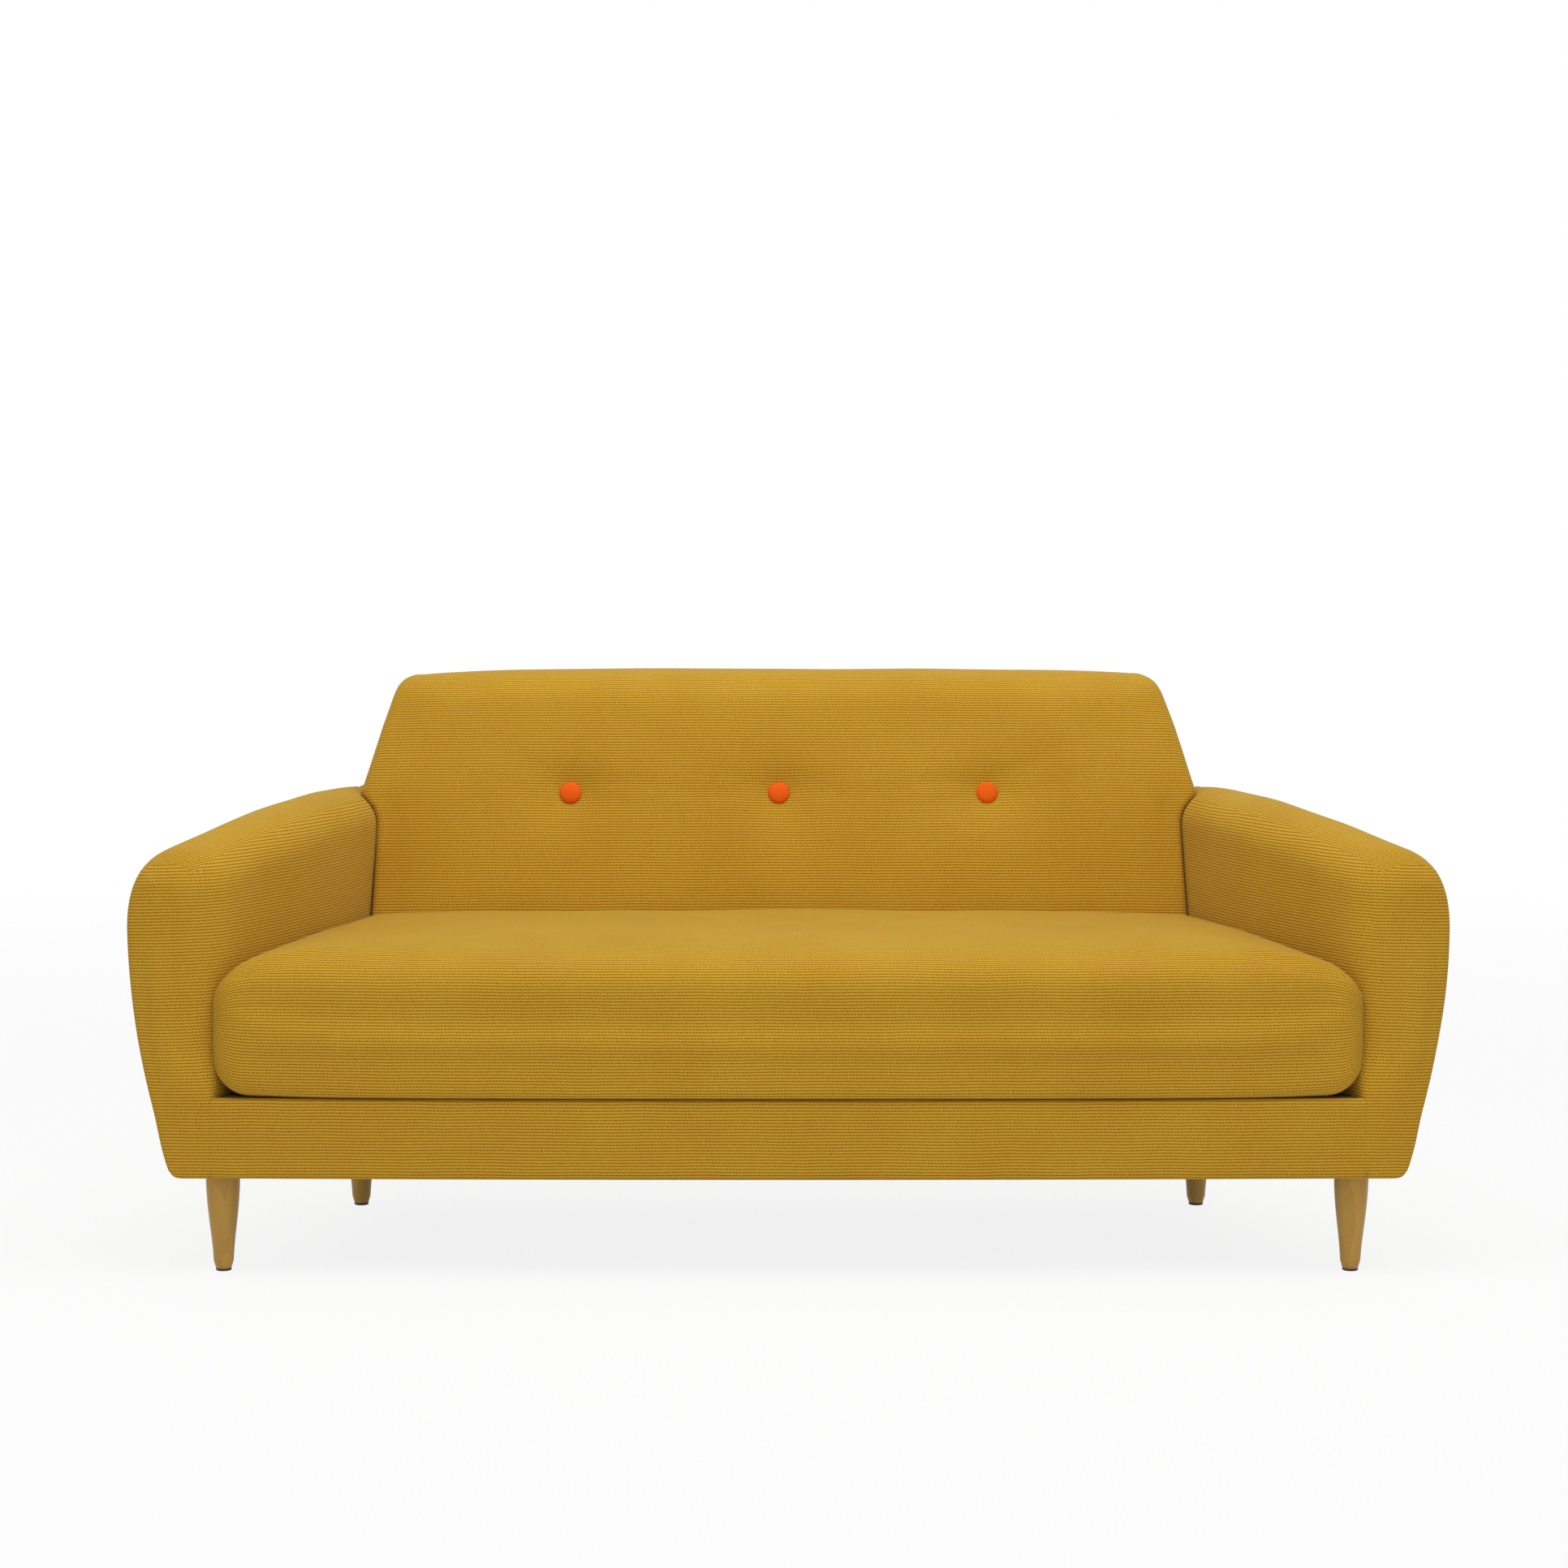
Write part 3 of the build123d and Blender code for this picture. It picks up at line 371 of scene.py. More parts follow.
class Pattern(NodeWork):
    """A Geometry Nodes tree with named sizes, whose result is made into a plain mesh."""

    def __init__(self, name, sizes):
        super().__init__(bpy.data.node_groups.new(name, "GeometryNodeTree"))
        face = self.tree.interface
        face.new_socket(name="Path", in_out="INPUT", socket_type="NodeSocketGeometry")
        face.new_socket(name="Geometry", in_out="OUTPUT", socket_type="NodeSocketGeometry")
        self.ports = {}
        for size, value in sizes.items():
            whole = isinstance(value, int)
            kind = "NodeSocketInt" if whole else "NodeSocketFloat"
            port = face.new_socket(name=size, in_out="INPUT", socket_type=kind)
            port.default_value = value
            self.ports[size] = port.identifier
        self.entry = self.tree.nodes.new("NodeGroupInput")
        self.exit = self.tree.nodes.new("NodeGroupOutput")

    def size(self, name):
        return Socket(self, self.entry.outputs[name])

    def vector(self, x=0.0, y=0.0, z=0.0):
        return self.node("ShaderNodeCombineXYZ", None, {0: x, 1: y, 2: z})

    def line(self, start, end, count):
        """A straight line from start to end, cut into count points."""
        straight = self.node("GeometryNodeCurvePrimitiveLine", None, {"Start": start, "End": end})
        return self.node("GeometryNodeResampleCurve", None, {"Curve": straight, "Count": count})

    def stepped(self, curve, step):
        """The same curve, cut into steps of this length."""
        return self.node("GeometryNodeResampleCurve", {"mode": "LENGTH"}, {"Curve": curve, "Length": step})

    def moved(self, geometry, offset):
        return self.node("GeometryNodeSetPosition", None, {"Geometry": geometry, "Offset": offset})

    def rod(self, curve, sides, radius, **more):
        """A round rod along a curve, closed at both ends."""
        rim = self.node("GeometryNodeCurvePrimitiveCircle", None, {"Resolution": sides, "Radius": radius})
        sockets = {"Curve": curve, "Profile Curve": rim, "Fill Caps": True, **more}
        return self.node("GeometryNodeCurveToMesh", None, sockets)

    def off_middle(self):
        """The place along a curve, from -1 at its start to 1 at its end."""
        return self.node("GeometryNodeSplineParameter") * 2.0 - 1.0

    def set_along(self, curve, piece, turn):
        """A copy of piece at each point of a curve, with its X along it, turned about Z by turn."""
        tangent = self.node("GeometryNodeInputTangent")
        along = self.node("FunctionNodeAlignRotationToVector", {"axis": "X"}, {"Vector": tangent})
        about_z = self.node("FunctionNodeEulerToRotation", None, {0: self.vector(0.0, 0.0, turn)})
        turned = {"Rotation": along, "Rotate By": about_z}
        facing = self.node("FunctionNodeRotateRotation", {"rotation_space": "LOCAL"}, turned)
        copies = {"Points": curve, "Instance": piece, "Rotation": facing}
        return self.node("GeometryNodeInstanceOnPoints", None, copies)

    def close(self, geometry, material):
        """Ends the tree: real copies in place of instances, smooth faces and the material."""
        real = self.node("GeometryNodeRealizeInstances", None, {0: geometry})
        smooth = self.node("GeometryNodeSetShadeSmooth", None, {0: real})
        done = self.node("GeometryNodeSetMaterial", None, {0: smooth, "Material": material})
        self.tree.links.new(done.socket, self.exit.inputs[0])

    def make(self, name, body, path=(), **sizes):
        """The tree's result for a path of points and these sizes, as a plain mesh on one body."""
        line = bpy.data.meshes.new(name + "_path")
        line.from_pydata(path, [(k, k + 1) for k in range(len(path) - 1)], [])
        carrier = bpy.data.objects.new(name, line)
        bpy.context.scene.collection.objects.link(carrier)
        layer = carrier.modifiers.new("Pattern", "NODES")
        layer.node_group = self.tree
        for size, value in sizes.items():
            layer[self.ports[size.replace("_", " ")]] = value
        shown = carrier.evaluated_get(bpy.context.evaluated_depsgraph_get())
        mesh = bpy.data.meshes.new_from_object(shown)
        carrier.modifiers.remove(layer)
        carrier.data = mesh
        mesh.name = name
        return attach(carrier, body)


beech = Finish("Oiled beech", Roughness=0.45, Specular_IOR_Level=0.4, Coat_Roughness=0.3)
grain = beech.streaks(60.0, 5.0, 2, 4.0)
growth = beech.function("FRACT", beech.streaks(16.0, 1.4, 2) * 11.0)
flecks = beech.streaks(1500.0, 160.0, 2, 1.0)
dark_flecks = beech.function("GREATER_THAN", flecks, 0.64)
handled = beech.cloudiness(beech.place(), 18.0, 3.0)
sapwood = beech.mix(grain, colour(200, 156, 62), colour(180, 136, 48))
ringed = beech.mix(growth * 0.35, sapwood, colour(160, 114, 38))
beech.feed(Base_Color=beech.mix(dark_flecks * 0.35, ringed, colour(118, 86, 44)))
beech.feed(Roughness=0.38 + handled * 0.2, Coat_Weight=0.1 + handled * 0.1)
beech.raise_surface(growth * 0.3 + flecks * 0.5, 0.0002, 0.5)

turning = Pattern("Turned leg", {"Centre X": 0.0, "Centre Y": 0.0, **leg_sizes})
start = turning.vector(turning.size("Centre X"), turning.size("Centre Y"), turning.size("Foot Z"))
reach = turning.vector(0.0, 0.0, turning.size("Length"))
end = turning.node("ShaderNodeVectorMath", {"operation": "ADD"}, {0: start, 1: reach})
share = turning.node("GeometryNodeSplineParameter")
eased = 0.5 - 0.5 * turning.function("COSINE", share * math.pi)
shift = turning.vector(0.0, 0.0, (eased - share) * turning.size("Length"))
axis = turning.moved(turning.line(start, end, 72), shift)
straight = turning.size("Foot Radius") + (turning.size("Top Radius") - turning.size("Foot Radius")) * eased
radius = straight + turning.size("Belly") * 4.0 * eased * (1.0 - eased)
for from_end, rounding in ((eased, turning.size("Heel Round")), (1.0 - eased, turning.size("Top Round"))):
    near = turning.function("MINIMUM", from_end * turning.size("Length") / rounding, 1.0)
    radius = radius - rounding * (1.0 - turning.function("SQRT", 1.0 - (1.0 - near) ** 2.0))
turning.close(turning.rod(axis, 64, 1.0, Scale=radius), beech.material)

for place, (leg_x, leg_y) in {"front": front_leg, "rear": rear_leg}.items():
    for side, mirror in zip(sides, (1, -1)):
        leg = turning.make(f"turned_leg_{place}_{side}", "sofa", Centre_X=mirror * leg_x, Centre_Y=leg_y)
        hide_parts(f"leg_{place}_{side}")

nylon = Finish("Glide nylon", Specular_IOR_Level=0.4)
scuffs = nylon.cloudiness(nylon.place((1, 1, 6)), 300.0, 4.0)
nylon.feed(Base_Color=nylon.mix(scuffs, colour(66, 54, 44), colour(86, 72, 60)))
nylon.feed(Roughness=0.4 + scuffs * 0.3)
nylon.raise_surface(scuffs, 0.0001, 0.6)
dress(nylon.material, "foot_glides")


# ---- Dust cover and its staples ------------------------------------------------------------------
# Black spun-bonded cloth, cut round the legs, stretched under the rails and stapled along its edges.
# It hangs down by a few tenths of a millimetre between the rails.

dust_front, dust_rear = -0.3440, 0.2210
dust_z = 0.1409
dust_outset = 0.0435
dust_sag = 0.0004
leg_hole = 0.0262
hole_hem = 0.002


def dust_reach(y):
    return arm_inside(y) + dust_outset


def dust_point(u, v):
    y = dust_front + (dust_rear - dust_front) * v
    sag = dust_sag * min(1, 9 * u * (1 - u)) * min(1, 9 * v * (1 - v))
    return [(2 * u - 1) * dust_reach(y), y, dust_z - sag]


dust_points, dust_faces = sheet_grid(170, 58, dust_point)
leg_spots = [(m * x, y) for x, y in (front_leg, rear_leg) for m in (1, -1)]


def off_leg(point):
    return min(math.hypot(point[0] - x, point[1] - y) for x, y in leg_spots)


dust_faces = [f for f in dust_faces if off_leg(np.mean([dust_points[k] for k in f], axis=0)) > leg_hole]
for point in dust_points:
    for x, y in leg_spots:
        away = math.hypot(point[0] - x, point[1] - y)
        if away < leg_hole + 2 * hole_hem:
            for axis, middle in enumerate((x, y)):
                point[axis] = middle + (point[axis] - middle) * (leg_hole + hole_hem) / max(away, 1e-4)

spunbond = Finish("Spun-bonded dust cloth", Roughness=0.8, Specular_IOR_Level=0.25)
fibre = spunbond.cloudiness(spunbond.place(), 700.0, 5.0)
pressed = spunbond.node("ShaderNodeTexVoronoi", None, {0: spunbond.place(), "Scale": 420.0})
spunbond.feed(Base_Color=spunbond.mix(fibre, colour(26, 25, 25), colour(48, 46, 45)))
spunbond.feed(Roughness=0.65 + fibre * 0.25)
spunbond.raise_surface(pressed + fibre * 0.5, 0.0002, 0.7)

dust = mesh_piece("dust_cloth", dust_points, dust_faces, spunbond.material, "sofa")
loose = bmesh.new()
loose.from_mesh(dust.data)
bmesh.ops.delete(loose, geom=[v for v in loose.verts if not v.link_faces], context="VERTS")
loose.to_mesh(dust.data)
loose.free()
wall = dust.modifiers.new("Thickness", "SOLIDIFY")
wall.thickness = 0.0005
wall.offset = 0.0
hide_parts("dust_cover")
2 * dust_reach(dust_front)

staple_depth = 0.0012
stapling = Pattern(
    "Staples round the dust cloth",
    {
        "Front": dust_front,
        "Rear": dust_rear,
        "Front Half": dust_reach(dust_front),
        "Rear Half": dust_reach(dust_rear),
        "Inset": 0.010,
        "Z": dust_z - staple_depth,
        "Spacing": 0.038,
        "Crown": 0.0095,
        "Depth": staple_depth,
        "Wire": 0.0006,
        "Askew": 0.35,
        "Seed": 4,
    },
)
front_line = stapling.size("Front") + stapling.size("Inset")
rear_line = stapling.size("Rear") - stapling.size("Inset")
front_end = stapling.size("Front Half") - stapling.size("Inset")
rear_end = stapling.size("Rear Half") - stapling.size("Inset")
round_the_edge = ((front_end * -1.0, front_line), (front_end, front_line))
round_the_edge += ((rear_end, rear_line), (rear_end * -1.0, rear_line))
corners = {
    f"Point {number}": stapling.vector(x, y, stapling.size("Z"))
    for number, (x, y) in enumerate(round_the_edge, 1)
}
edge = stapling.node("GeometryNodeCurvePrimitiveQuadrilateral", {"mode": "POINTS"}, corners)
crown_ends = [stapling.vector(stapling.size("Crown") * half) for half in (-0.5, 0.5)]
bent = stapling.function("ABSOLUTE", stapling.off_middle()) ** 8.0
crown = stapling.moved(
    stapling.line(*crown_ends, 9), stapling.vector(0.0, 0.0, bent * stapling.size("Depth"))
)
askew = stapling.node(
    "FunctionNodeRandomValue",
    {"data_type": "FLOAT"},
    {2: stapling.size("Askew") * -1.0, 3: stapling.size("Askew"), "Seed": stapling.size("Seed")},
    out=1,
)
staple = stapling.rod(crown, 5, stapling.size("Wire"))
staples = stapling.set_along(stapling.stepped(edge, stapling.size("Spacing")), staple, askew)
stapling.close(staples, zinc.material)
staple_row = stapling.make("dust_cloth_staples", "sofa")


# ---- Arms ----------------------------------------------------------------------------------------
# Foam and wadding glued over the arm's timber and drawn into one tight cover: upright inside, rounded
# over the ridge, bellied outside. The arm flares and drops towards its full, softly rounded front.

ridge_rise, ridge_drop = 0.643, 0.056
ridge_peak_y, ridge_run = 0.120, 0.477
base_z = 0.1365
crown_inner = (0.066, 0.057)
arm_width = 0.122
wide_z = 0.490
belly_offset, belly_z = 0.109, 0.340
foot_offset = 0.059
foot_round, foot_round_inner = 0.015, 0.004
fullness = 0.76
nose = 0.046
rear_round, under_round = 0.008, 0.009
flank_round, flank_round_loss = 0.019, 0.010
fold_z = 0.235
rear_rake = math.radians(12)
rear_top_y, rear_top_z = 0.373, 0.827
panel_thickness = 0.005


def ridge_z(y):
    return ridge_rise - ridge_drop * ((y - ridge_peak_y) / ridge_run) ** 2


def rear_plane(z):
    """Where the raked outside back stands at height z."""
    return rear_top_y - (rear_top_z - z) * math.tan(rear_rake)


def pad_rear(z):
    """Where the pads end, in front of the outside back's panel, at height z."""
    return rear_plane(z) - panel_thickness


def limited(value):
    """The value, kept between 0 and 1."""
    return min(1.0, max(0.0, value))


def smooth(share):
    """A share from 0 to 1, eased at both ends."""
    return share**2 * (3 - 2 * share)


def resampled(points, count):
    """The same line with count equal steps along it."""
    points = np.asarray(points, float)
    steps = np.r_[0, np.cumsum(np.linalg.norm(np.diff(points, axis=0), axis=1))]
    wanted = np.linspace(0, steps[-1], count + 1)
    return np.stack([np.interp(wanted, steps, points[:, k]) for k in range(points.shape[1])], axis=1)


def softened(points, sharp, radius):
    """Rounds one corner of a line of points: sharp is its index, radius how far the rounding reaches."""
    points = [np.asarray(p, float) for p in points]
    before, corner, after = points[sharp - 1], points[sharp], points[sharp + 1]
    first = corner + (before - corner) * radius / np.linalg.norm(before - corner)
    last = corner + (after - corner) * radius / np.linalg.norm(after - corner)
    shares = np.linspace(0, 1, 7)
    bend = [first * (1 - s) ** 2 + corner * 2 * s * (1 - s) + last * s * s for s in shares]
    return points[:sharp] + bend + points[sharp + 1:]


def rounded_end(distance, radius):
    """How far in from its full outline a section stands, this near to a rounded end."""
    if distance >= radius:
        return 0.0
    return radius - math.sqrt(max(0.0, radius**2 - (radius - distance) ** 2))


def end_steps(radius, count):
    """Distances from an end at which sections are set, close together where the rounding turns."""
    return [radius * (1 - math.cos(math.pi / 2 * k / count)) for k in range(count)]


def outward(ring):
    """Unit normals of a closed section that is drawn clockwise."""
    tangent = np.roll(ring, -1, axis=0) - np.roll(ring, 1, axis=0)
    tangent /= np.linalg.norm(tangent, axis=1)[:, None] + 1e-12
    return np.stack([-tangent[:, 1], tangent[:, 0]], axis=1)


def cap_grid(ring, up, over):
    """The points inside a ring of up, over, up and over steps, blended from its four sides."""
    left = ring[: up + 1]
    top = ring[up : up + over + 1]
    right = ring[up + over : 2 * up + over + 1][::-1]
    bottom = np.vstack([ring[2 * up + over :], ring[:1]])[::-1]
    s = np.linspace(0, 1, over + 1)[None, :, None]
    t = np.linspace(0, 1, up + 1)[:, None, None]
    sides_mix = (1 - s) * left[:, None] + s * right[:, None]
    ends_mix = (1 - t) * bottom[None] + t * top[None]
    low = (1 - s) * bottom[0] + s * bottom[-1]
    high = (1 - s) * top[0] + s * top[-1]
    return sides_mix + ends_mix - ((1 - t) * low + t * high)


def girth(ring):
    """The way round a closed section, to each of its points and back to the first."""
    return np.r_[0, np.cumsum(np.linalg.norm(np.roll(ring, -1, axis=0) - ring, axis=1))]


def mustard_weave(name):
    """Flat-woven upholstery: full weft rows 4.3 mm apart, with darker warp showing as dashes between, and
    painted shade darkening the grooves between the rows.
    """
    weave = Finish(name, Roughness=0.9, Specular_IOR_Level=0.12, Sheen_Weight=0.24, Sheen_Roughness=0.4)
    threads = weave.node("ShaderNodeUVMap", {"uv_map": "Weave"})
    run, climb = (weave.coordinate(threads, axis) for axis in (0, 1))
    drift = weave.cloudiness(threads, 9.0)
    row = climb / 0.0043 + drift * 0.9
    row_number = weave.function("FLOOR", row)
    bow = weave.function("SINE", (row - row_number) * math.pi)
    slub_place = weave.node("ShaderNodeVectorMath", {"operation": "MULTIPLY"}, {0: threads, 1: (90, 420, 1)})
    slub = weave.cloudiness(slub_place, 1.0)
    stagger = weave.function("FRACT", weave.function("SINE", row_number * 12.99) * 437.6)
    dash = 0.5 + 0.5 * weave.function("SINE", (run / 0.0044 + stagger + slub * 2.6) * (2 * math.pi))
    warp = weave.function("SINE", run * (2 * math.pi / 0.0021))
    fuzz = weave.cloudiness(threads, 1500.0)
    # The grooves between weft rows are painted darker: partly the warp's own colour in the dashes, partly
    # painted shade along the whole groove.
    groove_warp_and_painted_shade = (1.0 - bow) * (0.35 + dash * 0.65)
    tone = weave.cloudiness(weave.place(), 7.5, 3.0)
    light = weave.mix(slub, colour(197, 156, 41), colour(217, 176, 60))
    # The darker colour is the warp's colour mixed with painted groove shade.
    warp_and_painted_shade = weave.mix(tone, colour(142, 78, 0), colour(156, 92, 3))
    depth = groove_warp_and_painted_shade * 1.3 + fuzz * 0.14 - warp * 0.06 + tone * 0.3 - 0.17
    weave.feed(Base_Color=weave.mix(depth, light, warp_and_painted_shade))
    weave.feed(Roughness=0.80 + fuzz * 0.15)
    weave.raise_surface(bow * 0.8 - (1.0 - bow) * dash * 0.3 + fuzz * 0.25, 0.0004, 0.65)
    weave.shader.inputs["Sheen Tint"].default_value = colour(238, 255, 170)
    return weave.material


mustard = mustard_weave("Mustard weave")


no_swell = ((0, 0, 0), (0, 0, 0))


def pad(name, body, up, over, rings, along, across, flat=(1, 2), flat_rings=0, swell=no_swell):
    """A closed pad through rings of points, with a blended cap at each end and its weave's own map.

    The weave's place is along[ring] and across[ring][point] on the pad's sides, and the two flat
    coordinates of a point on its caps and on the first flat_rings strips. swell is how far each cap
    stands out in its middle.
    """
    count = len(rings[0])
    points = [tuple(p) for ring in rings for p in ring]
    faces, weave = [], []
    for j in range(len(rings) - 1):
        for k in range(count):
            after = (k + 1) % count
            faces.append((j * count + k, j * count + after, (j + 1) * count + after, (j + 1) * count + k))
            if j < flat_rings:
                weave.append([[points[c][axis] for axis in flat] for c in faces[-1]])
            else:
                near, far = across[j], across[j + 1]
                weave.append(
                    [(along[j], near[k]), (along[j], near[k + 1])]
                    + [(along[j + 1], far[k + 1]), (along[j + 1], far[k])]
                )
    for end, ring_start in ((0, 0), (1, (len(rings) - 1) * count)):
        grid = cap_grid(np.asarray(rings[-end]), up, over)
        rise = np.sin(np.linspace(0, math.pi, up + 1))[:, None] * np.sin(np.linspace(0, math.pi, over + 1))
        grid = grid + (rise**1.5)[:, :, None] * np.asarray(swell[end])
        index = np.zeros((up + 1, over + 1), int)
        for i in range(up + 1):
            for j in range(over + 1):
                if j == 0:
                    index[i, j] = ring_start + i
                elif j == over:
                    index[i, j] = ring_start + (2 * up + over - i) % count
                elif i == up:
                    index[i, j] = ring_start + up + j
                elif i == 0:
                    index[i, j] = ring_start + (count - j) % count
                else:
                    index[i, j] = len(points)
                    points.append(tuple(grid[i, j]))
        for i in range(up):
            for j in range(over):
                corners = [index[i, j], index[i, j + 1], index[i + 1, j + 1], index[i + 1, j]]
                faces.append(tuple(int(c) for c in corners))
                weave.append([[points[c][axis] for axis in flat] for c in corners])
    return mesh_piece(name, points, faces, mustard, body, weave)


def ease_surface(piece, size, depth, seed, from_z, rise):
    """Small hand-made unevenness of a stuffed cover: depth at most, over hollows of about this size.

    It starts at from_z and is full by rise above it.
    """
    mesh = piece.data
    normals = [v.normal.copy() for v in mesh.vertices]
    for vertex, normal in zip(mesh.vertices, normals):
        hollow = noise.noise(vertex.co / size + Vector((seed, seed, seed)))
        vertex.co += normal * (hollow * depth * limited((vertex.co.z - from_z) / rise))
    mesh.update()


def arm_section(y, up, over):
    """One section across the arm as offsets from its inside face and heights, clockwise from the foot."""
    top = ridge_z(y)
    inner_w, inner_h = crown_inner
    outer_w, outer_h = arm_width - inner_w, top - wide_z
    quarter = np.linspace(0, math.pi / 2, 15)
    inner_curve = [(inner_w * (1 - math.cos(a)), top - inner_h * (1 - math.sin(a))) for a in quarter]
    outer_curve = [
        (inner_w + outer_w * math.sin(a) ** fullness, wide_z + outer_h * math.cos(a) ** fullness)
        for a in np.clip(quarter, 0.0, math.pi / 2 - 1e-9)
    ]
    rows = np.linspace(wide_z, base_z, 25)
    belly = np.polyfit([wide_z, belly_z, base_z], [arm_width, belly_offset, foot_offset], 2)
    flank = [(np.polyval(belly, z), z) for z in rows]
    foot = softened([flank[-4], flank[-1], (0.02, base_z)], 1, foot_round)
    lower_left = softened([(0.02, base_z), (0.0, base_z), (0.0, base_z + 0.03)], 1, foot_round_inner)
    left = resampled(lower_left[5:] + inner_curve[:8], up)
    over_top = resampled(inner_curve[7:] + outer_curve[1:8], over)
    right = resampled(outer_curve[7:] + flank[1:-3] + foot[1:5], up)
    under = resampled(foot[4:] + lower_left[1:6], over)
    return np.vstack([left[:-1], over_top[:-1], right[:-1], under[:-1]])


def arm_rings(up, over):
    """Sections from the arm's front to its rear, and the weave's place along and across them."""
    depth = pad_rear(0.42) - front_y
    stations = end_steps(nose, 16) + list(np.linspace(nose, depth - rear_round, 56))
    stations += [depth - d for d in reversed(end_steps(rear_round, 5))]
    rings, runs, climbs = [], [], []
    for distance in stations:
        share = distance / depth
        section = arm_section(front_y + depth * share, up, over)
        facing = outward(section)
        height = np.clip((section[:, 1] - fold_z) / 0.09, 0, 1)
        low = np.clip((fold_z - section[:, 1]) / 0.08, 0, 1)
        inner, top = np.clip(-facing[:, 0], 0, 1), np.clip(facing[:, 1], 0, 1)
        outer_radius = flank_round - flank_round_loss * smooth(low)
        radii = outer_radius + (nose - outer_radius) * np.hypot(inner, top)
        radii = radii * (1 - inner * 0.99 * (1 - smooth(height)))
        under = np.clip((-facing[:, 1] - 0.4) / 0.6, 0, 1)
        radii = radii * (1 - under) + under_round * under
        inset = np.array([rounded_end(distance, r) for r in radii])
        inset += rounded_end(depth - distance, rear_round)
        section = section - facing * inset[:, None]
        ring = []
        for offset, z in section:
            y = front_y + (pad_rear(z) - front_y) * share
            ring.append((arm_inside(y) + offset, y, z))
        ring = np.array(ring)
        rings.append(ring)
        bend = math.acos(max(0.0, 1 - distance / nose))
        runs.append(nose * bend + max(0.0, distance - nose))
        walk = girth(ring)
        climb = walk.copy()
        climb[: up + 1] = ring[: up + 1, 2]
        climb[up + 1 :] += climb[up] - walk[up]
        crown_end, foot = up + over, 2 * up + over
        climb[crown_end : foot + 1] = climb[crown_end] + ring[crown_end, 2] - ring[crown_end : foot + 1, 2]
        climb[foot + 1 :] = climb[foot] + walk[foot + 1 :] - walk[foot]
        climbs.append(climb)
    return rings, runs, climbs


arm_up, arm_over = 44, 14
rings, runs, climbs = arm_rings(arm_up, arm_over)
for side, mirror in zip(sides, (1, -1)):
    side_rings = [ring * (mirror, 1, 1) for ring in rings]
    places = {"flat": (0, 2), "flat_rings": 8, "swell": ((0, -0.005, 0), (0, 0, 0))}
    arm = pad(f"arm_cover_{side}", "sofa", arm_up, arm_over, side_rings, runs, climbs, **places)
    ease_surface(arm, 0.16, 0.0022, 3.1 * mirror, 0.26, 0.1)
    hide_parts(f"arm_pad_{side}")


# ---- Back ----------------------------------------------------------------------------------------
# A foam pad over webbing and top rail, wadded and covered, fitted tightly between the arms. It is
# widest where it rises out of them and tapers to its crest; three buttons pull shallow hollows into it.

crest_z = 0.824
crest_half = 0.5902
shoulder_half, shoulder_z = 0.6446, 0.640
crest_round, crest_rear_round = 0.034, 0.024
side_round, side_foot_round = 0.021, 0.011
crest_fall, crest_fall_ends = 0.001, 0.009
arm_play = 0.0012
seat_back_z = 0.458
recline = math.radians(15)
pad_foot_z = 0.2500
button_z = 0.638
button_xs = (-0.322, 0.0, 0.322)
hollow_depth, hollow_reach = 0.010, 0.050


def back_front(z):
    """Where the reclined face of the back stands at height z."""
    return rear_y + (z - seat_back_z) * math.tan(recline)


def back_half(y, z):
    """How far the pad reaches to each side: to its tapered outline, and no further than the arm."""
    outline = shoulder_half + (z - shoulder_z) * (crest_half - shoulder_half) / (crest_z - shoulder_z)
    height = ridge_z(y) - crown_inner[1]
    if z < ridge_z(y) - 0.0005:
        over = max(0.0, (z - height) / crown_inner[1])
        outline = min(outline, arm_inside(y) + crown_inner[0] * (1 - math.sqrt(1 - over**2)) - arm_play)
    return outline


def back_section(up, over):
    """The pad's section in depth and height: up the face, over the crest, down behind and under."""
    foot, crest = (back_front(pad_foot_z), pad_foot_z), (back_front(crest_z), crest_z)
    behind, heel = (pad_rear(crest_z), crest_z), (pad_rear(pad_foot_z), pad_foot_z)
    front_bend = softened([foot, crest, behind], 1, crest_round)
    rear_bend = softened([crest, behind, heel], 1, crest_rear_round)
    left = resampled([foot] + front_bend[1:5], up)
    top = resampled(front_bend[4:8] + rear_bend[1:5], over)
    right = resampled(rear_bend[4:8] + [heel], up)
    bottom = resampled([heel, foot], over)
    return np.vstack([left[:-1], top[:-1], right[:-1], bottom[:-1]])


def stations_between(length, edge, steps, columns):
    """Distances along a pad of this length, set close together within its two rounded ends."""
    near = end_steps(edge, steps)
    return near + list(np.linspace(edge, length - edge, columns)) + [length - d for d in reversed(near)]


def back_rings(up, over, columns):
    """Sections from the back's right end to its left, and the weave's place along and across them."""
    section = back_section(up, over)
    facing = outward(section)
    reach = crest_half
    stations = stations_between(2 * reach, side_round, 8, columns)
    rings = []
    for distance in stations:
        share = distance / reach - 1.0
        near = min(distance, 2 * reach - distance)
        ring = []
        for (y, z), (out_y, out_z) in zip(section, facing):
            above = limited((z - 0.60) / 0.08)
            inset = rounded_end(near, side_foot_round + (side_round - side_foot_round) * above)
            y_in, z_in = y - out_y * inset, z - out_z * inset
            fall = (crest_fall + crest_fall_ends * share**2) * limited((z - 0.74) / 0.08)
            ring.append((share * back_half(y_in, z_in), y_in, z_in - fall))
        rings.append(np.array(ring))
    return rings, [d - reach for d in stations], [girth(section)] * len(rings)


back_up, back_over = 56, 14
back_map = back_rings(back_up, back_over, 116)
back = pad("back_cover", "sofa", back_up, back_over, *back_map, swell=((-0.003, 0, 0), (0.003, 0, 0)))


